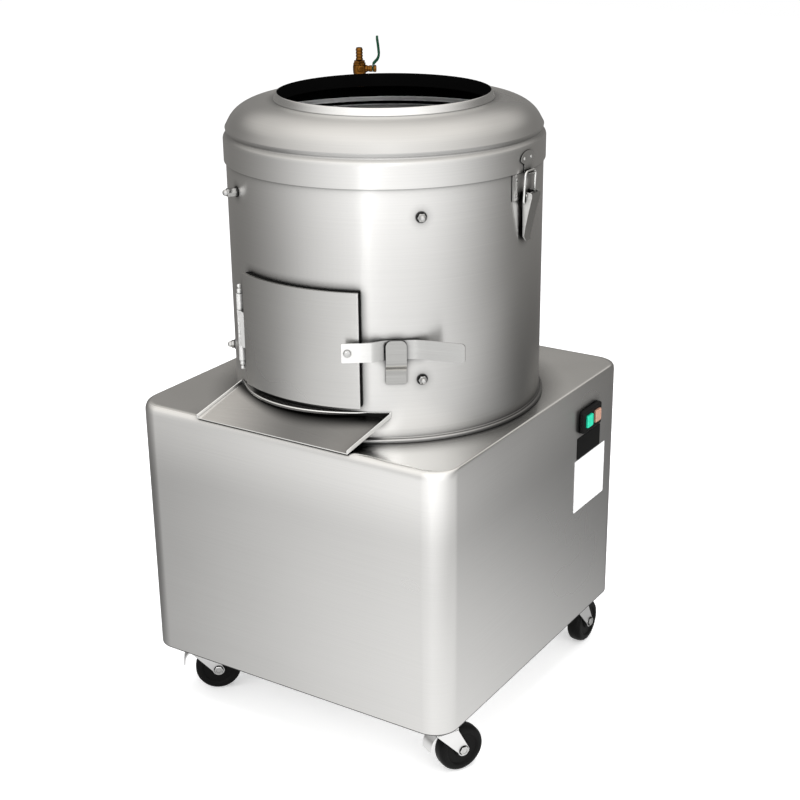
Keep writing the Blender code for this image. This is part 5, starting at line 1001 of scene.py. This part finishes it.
def makeSwitch():
    s = switchSizes
    wall, y, z = baseSizes.halfX, s.centreY, deck - s.drop
    face = wall + gap + s.flange

    def ring(x, halfY, halfZ, trim, radius, side=0):
        outline = roundedOutline(halfY - trim, halfZ - trim, radius, 6, (y + side * s.pitch / 2, z))
        return [(x, a, b) for a, b in outline]

    housing = loft("switchBody", [ring(x, s.width / 2, s.height / 2, trim, radius) for x, trim, radius in (
        (wall - s.depth, 0.006, 0.001), (wall + gap, 0.006, 0.001), (wall + gap, 0, 0.004), (face - 0.002, 0, 0.004),
        (face - 0.0006, 0.0006, 0.0036), (face, 0.002, 0.0025))])
    for side in (-1, 1):
        outline = roundedOutline(s.keyWide / 2 + gap, s.keyTall / 2 + gap, 0.0018, 5, (y + side * s.pitch / 2, z))
        cut(housing, prism("cutKey", outline, face - s.sink - s.proud, face + 0.006, "X"))
    seat(roundEdges(housing, 0.0003, 70, 1), "blackPlastic", "frame", "switch_housing", baseAt)
    front = face + s.proud
    for name, side, finish, slot in (("start", -1, "greenKey", "green_button"), ("stop", 1, "redKey", "red_button")):
        key = loft(name + "Key", [ring(x, s.keyWide / 2, s.keyTall / 2, trim, 0.0016, side) for x, trim in (
            (face - s.sink, 0), (front - 0.0018, 0), (front - 0.0006, 0.0005), (front, 0.0016),
            (front - 0.0005, 0.0035))])
        seat(key, finish, name + "_plunger", name + "_button", baseAt)


def makePlates():
    s, wall = plateSizes, baseSizes.halfX
    for name, spot, finish in (("barePlate", s.black, "blackPlate"), ("bareLabel", s.white, "whiteLabel")):
        y0, y1, z0, z1 = spot
        outline = roundedOutline((y1 - y0) / 2, (z1 - z0) / 2, s.round, 5, ((y0 + y1) / 2, (z0 + z1) / 2))
        seat(prism(name, outline, wall, wall + s.thick, "X"), finish, "frame", None, baseAt)


makeSwitch()
makePlates()

# Each spot is an angle, a height and how much longer that nut is
nutSizes = Values(across=0.0055, washer=0.0078, washerThick=0.0012, bore=0.002, stand=0.0001,
                  spots=((-45.0, 0.82, 0), (-45.0, 0.592, 0), (-121.6, 0.829, 0.0092), (-140.6, 0.58, 0),
                         (128.0, 0.82, 0), (128.0, 0.592, 0), (54.0, 0.82, 0), (54.0, 0.592, 0)))


def makeNuts():
    s, a, t = nutSizes, nutSizes.across, nutSizes.washerThick
    nuts, washers = [], []
    for angle, level, more in s.spots:
        washer = turned("nutWasher", [(s.bore, 0.0), (s.washer, 0.0), (s.washer, 0.0008), (s.washer - 0.0004, t),
                                      (s.bore, t)], 40)
        cap = turned("nutCap", [(s.bore, t), (-a * 0.98, t), (-a, 0.0016), (-a, 0.0048 + more),
                                (a * 0.98, 0.0056 + more), (a * 0.84, 0.006 + more), (a * 0.8, 0.0078 + more),
                                (a * 0.68, 0.0096 + more), (a * 0.46, 0.0108 + more), (a * 0.15, 0.0113 + more)],
                     72, False)
        for bit, heap in ((washer, washers), (cap, nuts)):
            heap.append(tip(shift(tip(bit, 90), drumSizes.radius + s.stand, 0, level), angle, "Z"))
    for name, heap, finish in (("nutWashers", washers, "darkSteel"), ("capNuts", nuts, "nutSteel")):
        seat(join(name, *heap), finish, "frame", None, drumAt, sharp=25)


makeNuts()

outletSizes = Values(radius=0.019, wall=0.002, bend=0.04, ring=0.17, angle=radians(52), drop=0.135,
                     inletRise=0.003, proud=0.0335, glandX=-0.2, glandZ=0.155, flange=0.005, upright=0.02,
                     lip=0.0015)


def makeOutlets():
    s = outletSizes
    x, y, _ = drumAt - baseAt + Vector((s.ring * cos(s.angle), s.ring * sin(s.angle), 0))
    level, bend, wall = deck - s.drop, s.bend, baseSizes.halfY
    points = [(x, y, deck + s.inletRise), (x, y, level + bend + s.upright)]
    points += [(x, y + a, level + b) for a, b in arcPoints((bend, bend), bend, pi, pi * 1.5, 20)]
    points += [(x, wall + s.proud, level), (x, wall + s.proud + s.lip, level)]
    seat(sweep("drainPipe", points, s.radius, 64, s.radius - s.wall), "wallSteel", "frame", "drain_pipe", baseAt)
    outer = gap + s.flange
    gland = turned("cordGland", [
        (0.0042, -0.012), (0.008, -0.012), (0.008, gap), (-0.0111, gap), (-0.0115, gap + 0.0006),
        (-0.0115, outer - 0.0006), (-0.0111, outer), (0.0095, outer), (0.0095, outer + 0.007), (0.0088, outer + 0.01),
        (0.0072, outer + 0.0118), (0.0046, outer + 0.012), (0.0042, outer + 0.0117)], 72)
    seat(shift(tip(gland, -90, "X"), s.glandX, wall, s.glandZ), "blackPlastic", "frame", "cable_gland", baseAt)


makeOutlets()

casterSizes = Values(trail=0.027, plate=0.028, sheet=0.0025, radius=0.0364, half=0.012, hub=0.012, axle=0.004,
                     fork=0.002, play=0.0012, top=0.018, low=0.0095, race=0.019, kingpin=0.006, crown=0.0788,
                     bolt=0.0215, skirt=0.006, brakeY=-0.01, brakeDrop=0.007, pedal=0.0018, barrel=0.0026,
                     pedalNeck=0.62, pedalEnd=0.8, pedalRound=0.85)


def makeCaster(node, x, y, heading, braked):
    s = casterSizes
    words, centre, heading = node.title().replace("_", ""), baseAt + Vector((x, y, 0)), radians(heading)
    plateTop = baseSizes.low - gap
    plateLow, crown, trail, t = plateTop - s.sheet, s.crown, s.trail, s.fork
    leg = s.half + s.play + t / 2
    inside, reach = leg - t / 2, leg + t / 2

    # across the fork, at the axle
    def atAxle(bit, side, out):
        return shift(tip(bit, 90 * side), side * out, trail, s.radius)

    outline = roundedOutline(s.plate, s.plate, 0.004, 5)
    plate = roundEdges(prism("casterPlate" + words, outline, plateLow, plateTop), 0.0004)
    bolt = [(-0.0042, 0.0), (-0.0042, -0.0022), (0.0034, -0.0028), (0.0008, -0.0028)]
    bolts = [shift(turned("plateBolt", bolt, 24, False), sx * s.bolt, sy * s.bolt, plateLow)
             for sx in (-1, 1) for sy in (-1, 1)]
    seat(join("casterPlate" + words, plate, *bolts), "zincSteel", "frame", "caster_plate_" + node, centre)

    parts = []
    for side in (-1, 1):
        outline = arcPoints((trail, s.radius), s.low, -pi * 0.93, pi * 0.02, 18)
        outline += [(s.top, crown - s.skirt), (s.top, crown - t * 0.5), (-s.top, crown - t * 0.5),
                    (-s.top, crown - s.skirt)]
        low, high = sorted((side * inside, side * reach))
        parts.append(roundEdges(prism("forkLeg", outline, low, high, "X"), 0.0005, 50))
    bend = [(-leg, -s.skirt), (-leg, -0.001), (0.001 - leg, 0), (-0.004, 0)]
    bend = smoothPath(lift(bend + [(-a, b) for a, b in bend[::-1]], crown))
    parts.append(roundEdges(strip("forkCrown", [(a, b, -s.top, s.top) for a, b in bend], t), 0.0004, 60))
    race, roof = s.race, plateLow - gap
    bearing = lift([(race * 0.75, 0), (race * 0.96, 0.0016), (race, 0.0034), (race * 0.93, 0.0052),
                    (race * 0.93, 0.0064), (race, 0.008)], crown)
    bearing += [(race, plateLow - 0.0012), (race * 0.97, roof), (s.kingpin, roof), (s.kingpin, plateTop)]
    parts.append(turned("forkRace", bearing, 64, False))
    for side in (-1, 1):
        nut = turned("axleNut", [(-0.0062, 0.0), (-0.0064, 0.0006), (-0.0064, 0.0026), (0.0056, 0.0032),
                                 (0.0042, 0.0032), (0.004, 0.0028), (0.0004, 0.003)], 48, False)
        washer = turned("axleWasher", [(0.0066, 0.0), (0.008, 0.0), (0.0078, 0.0006), (0.0066, 0.0006)], 40)
        parts += [mark(atAxle(nut, side, reach - 0.0002), 1), mark(atAxle(washer, side, reach - 0.0001), 2)]
    parts.append(atAxle(turned("axleRod", [(s.axle, -reach), (s.axle, reach)], 32, False), 1, 0))
    seat(join("casterFork" + words, *parts), ("zincSteel", "nutSteel", "darkSteel"), "swivel_" + node,
         "caster_fork_" + node, centre, heading)

    r, edge, hub = s.radius, s.half, s.hub
    half = [(s.axle + gap, edge), (hub - 0.001, edge), (hub, edge - 0.0006), (hub + 0.0008, edge - 0.0026),
            (0.0235, edge - 0.0026), (0.0258, edge - 0.0008), (0.0268, edge - 0.0002), (r - 0.006, edge - 0.0003),
            (r - 0.0034, edge - 0.001), (r - 0.0014, edge - 0.003), (r - 0.0004, edge - 0.0055), (r, edge - 0.008)]
    wheel = turned("casterWheel" + words, half + [(a, -b) for a, b in half[::-1]], 96)
    seat(atAxle(wheel, 1, 0), "wheelBlack", "wheel_" + node, "caster_wheel_" + node, centre, heading)
    if not braked:
        return

    pivotY, pivotZ, wide = s.brakeY, crown - s.brakeDrop, inside - 0.001
    path = smoothPath([(pivotY - back, pivotZ - drop) for back, drop in (
        (0, 0), (0.0066, 0.0017), (0.0124, 0.0067), (0.0154, 0.0137), (0.0165, 0.021), (0.0165, 0.0255))])
    stations = []
    for k, (a, b) in enumerate(path):
        share = k / (len(path) - 1)
        wider = wide * (s.pedalNeck + (1 - s.pedalNeck) * min(share * 3, 1))
        if share > s.pedalEnd:
            wider *= sqrt(max(1 - ((share - s.pedalEnd) / (1 - s.pedalEnd)) ** 2 * s.pedalRound, 0.1))
        stations.append((a, b, -wider, wider))
    pedal = roundEdges(strip("pedalSheet", stations, s.pedal, "YZX"), 0.0005, 50)
    barrel = turned("pedalBarrel", [(s.barrel, gap - inside), (s.barrel, inside - gap)], 24, False)
    seat(join("casterBrake" + words, pedal, shift(tip(barrel, 90), 0, pivotY, pivotZ)), "zincSteel", "brake_" + node,
         "caster_brake_" + node, centre, heading)


makeCaster("front_left", -0.22, -0.2235, -50, True)
makeCaster("front_right", 0.235, -0.2235, -28, True)
makeCaster("back_right", 0.235, 0.2105, 0, False)
makeCaster("back_left", -0.22, 0.2105, 0, False)
print("casters made")

# Inner nodes that keep their CAD shape
kept = {
    "zincSteel": ("base_plate", "motor_bracket"), "motorPaint": ("motor",), "blackRubber": ("drive_belt",),
    "castIron": ("motor_pulley", "large_pulley", "bearing_housing"), "wallSteel": ("drum_floor",),
    "brightSteel": ("motor_shaft", "drive_shaft", "upper_bearing", "lower_bearing", "disc_nut"),
}
for finish, nodes in kept.items():
    for node in nodes:
        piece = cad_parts[node]
        piece.data.materials.clear()
        piece.data.materials.append(bpy.data.materials[finish])
print("inner parts finished")

# The ranges are (from, to, first, last)
floorValues = Values(white=0.9, lift=0.35, side=(-0.9, 0.4, 1.12, 0.24), plain=1.0, close=(0.55, 0.85, 0.14, 0.0),
                     far=(1.1, 1.6, 0.0, 0.12), aside=(0.65, 1.1, 1.0, 0.68), near=(1.15, 1.8, 0.0, 1.0), half=9)
lightValues = {
    "strip": Values(angle=-60.5, out=3.0, low=0.0, high=2.6, width=0.1, power=4.0, glossy=True),
    "right": Values(angle=-20, out=2.4, low=0.3, high=2.3, width=1.6, power=34, glossy=False),
    "left": Values(angle=-120, out=2.6, low=0.3, high=2.3, width=1.6, power=30, glossy=False),
}
topLight = Values(height=2.8, size=2.6, power=60)
studioValues = Values(lobes=((-69.6, 0.947, 3.0), (-21.1, 0.401, 6.4)), dark=0.204, above=(0.25, 0.6, 0.0, 0.42),
                      top=(0.6, 0.95, 0.0, 0.42), warm=(1.03, 1.0, 0.955), plain=0.75)


def makeFloor():
    v, far = floorValues, floorValues.half
    floor = meshObject("floor", [(-far, -far, 0), (far, -far, 0), (far, far, 0), (-far, far, 0)], [(0, 1, 2, 3)])
    material, tree, shader = newMaterial("floorWhite")
    ray = add(tree, "LightPath").outputs
    feed(shader, {"Base Color": (v.white, v.white, v.white, 1), "Roughness": 0.9, "Specular IOR Level": 0.0,
                  "Emission Color": (1, 1, 1, 1),
                  "Emission Strength": calc(tree, "MULTIPLY", ray["Is Camera Ray"], v.lift)})
    # reflections see the floor near the machine and the studio beyond it
    spot = add(tree, "TexCoord").outputs["Object"]
    away = add(tree, "VectorMath", {0: spot}, operation="LENGTH").outputs["Value"]
    split = add(tree, "SeparateXYZ", {0: spot}).outputs
    slope = ranged(tree, calc(tree, "SUBTRACT", split["Y"], split["X"]), v.side)
    pools = calc(tree, "ADD", ranged(tree, away, v.far), calc(tree, "ADD", ranged(tree, away, v.close), v.plain))
    level = calc(tree, "MULTIPLY", calc(tree, "MULTIPLY", slope, pools), ranged(tree, split["X"], v.aside, "LINEAR"))
    glow = add(tree, "Emission", {"Color": (1, 0.995, 0.985, 1), "Strength": level}).outputs[0]
    clear = add(tree, "BsdfTransparent").outputs[0]
    seen = add(tree, "MixShader", {"Fac": ranged(tree, away, v.near), 1: glow, 2: clear}).outputs[0]
    final = add(tree, "MixShader", {"Fac": ray["Is Glossy Ray"], 1: shader.outputs[0], 2: seen}).outputs[0]
    feed(tree.nodes["Material Output"], {"Surface": final})
    floor.data.materials.append(material)


def addLight(name, sizes, power, glossy, place, facing=None):
    light = bpy.data.lights.new(name, "AREA")
    light.shape = "RECTANGLE"
    light.size, light.size_y = sizes
    light.energy = power
    panel = addObject(name, light)
    panel.location = place
    if facing is not None:
        panel.rotation_euler = facing.to_track_quat("-Z", "Z").to_euler()
    panel.visible_camera = False
    panel.visible_glossy = glossy


# The studio: bright behind the camera, darker round the sides, a little lighter above
def makeStudio():
    v = studioValues
    world = bpy.data.worlds.new("studio")
    bpy.context.scene.world = world
    world.use_nodes = True
    tree = world.node_tree
    tree.nodes.clear()
    way = add(tree, "TexCoord").outputs["Generated"]
    lobes = []
    for toward, bright, power in v.lobes:
        toward = radians(toward)
        side = add(tree, "VectorMath", {0: way, 1: (cos(toward), sin(toward), 0)}, operation="DOT_PRODUCT")
        facing = calc(tree, "MULTIPLY_ADD", side.outputs["Value"], 0.5, 0.5)
        lobes.append(calc(tree, "MULTIPLY", calc(tree, "POWER", facing, power), bright))
    height = add(tree, "SeparateXYZ", {0: way}).outputs["Z"]
    rises = calc(tree, "ADD", ranged(tree, height, v.above), ranged(tree, height, v.top))

    def background(strength, colour=(1, 1, 1)):
        return add(tree, "Background", {"Color": (*colour, 1), "Strength": strength}).outputs[0]

    warm, clean = background(calc(tree, "ADD", rises, v.dark), v.warm), background(calc(tree, "ADD", *lobes))
    seen = add(tree, "AddShader", {0: warm, 1: clean}).outputs[0]
    ray = add(tree, "LightPath").outputs
    picked = add(tree, "MixShader", {"Fac": ray["Is Glossy Ray"], 1: background(v.plain), 2: seen}).outputs[0]
    final = add(tree, "MixShader", {"Fac": ray["Is Camera Ray"], 1: picked, 2: background(1.0)}).outputs[0]
    add(tree, "OutputWorld", {"Surface": final})


makeFloor()
for name, v in lightValues.items():
    angle = radians(v.angle)
    heading = Vector((cos(angle), sin(angle), 0))
    middle = drumAt + heading * v.out + Vector((0, 0, (v.low + v.high) / 2))
    addLight(name, (v.width, v.high - v.low), v.power, v.glossy, middle, -heading)
addLight("top", (topLight.size, topLight.size), topLight.power, False, (0, 0, topLight.height))
makeStudio()
bpy.context.scene.view_settings.view_transform = "Standard"

shot = {"from": (1.2065, -1.8374, 1.3009), "yaw": -0.5719, "pitch": -0.3625, "roll": -0.0119, "lens": 67.78}
camera = addObject("camera", bpy.data.cameras.new("camera"))
camera.data.lens = shot["lens"]
camera.data.sensor_width = 36.0
camera.data.dof.use_dof = False
look = Vector((cos(shot["pitch"]) * sin(shot["yaw"]), cos(shot["pitch"]) * cos(shot["yaw"]),
               sin(shot["pitch"])))
level = Vector((cos(shot["yaw"]), -sin(shot["yaw"]), 0))
above = level.cross(look)
c, s = cos(shot["roll"]), sin(shot["roll"])
right, up = level * c + above * s, above * c - level * s
place = Matrix((right, up, -look)).transposed().to_4x4()
place.translation = Vector(shot["from"]) + baseAt
camera.matrix_world = place
bpy.context.scene.camera = camera
print("stage and camera set")
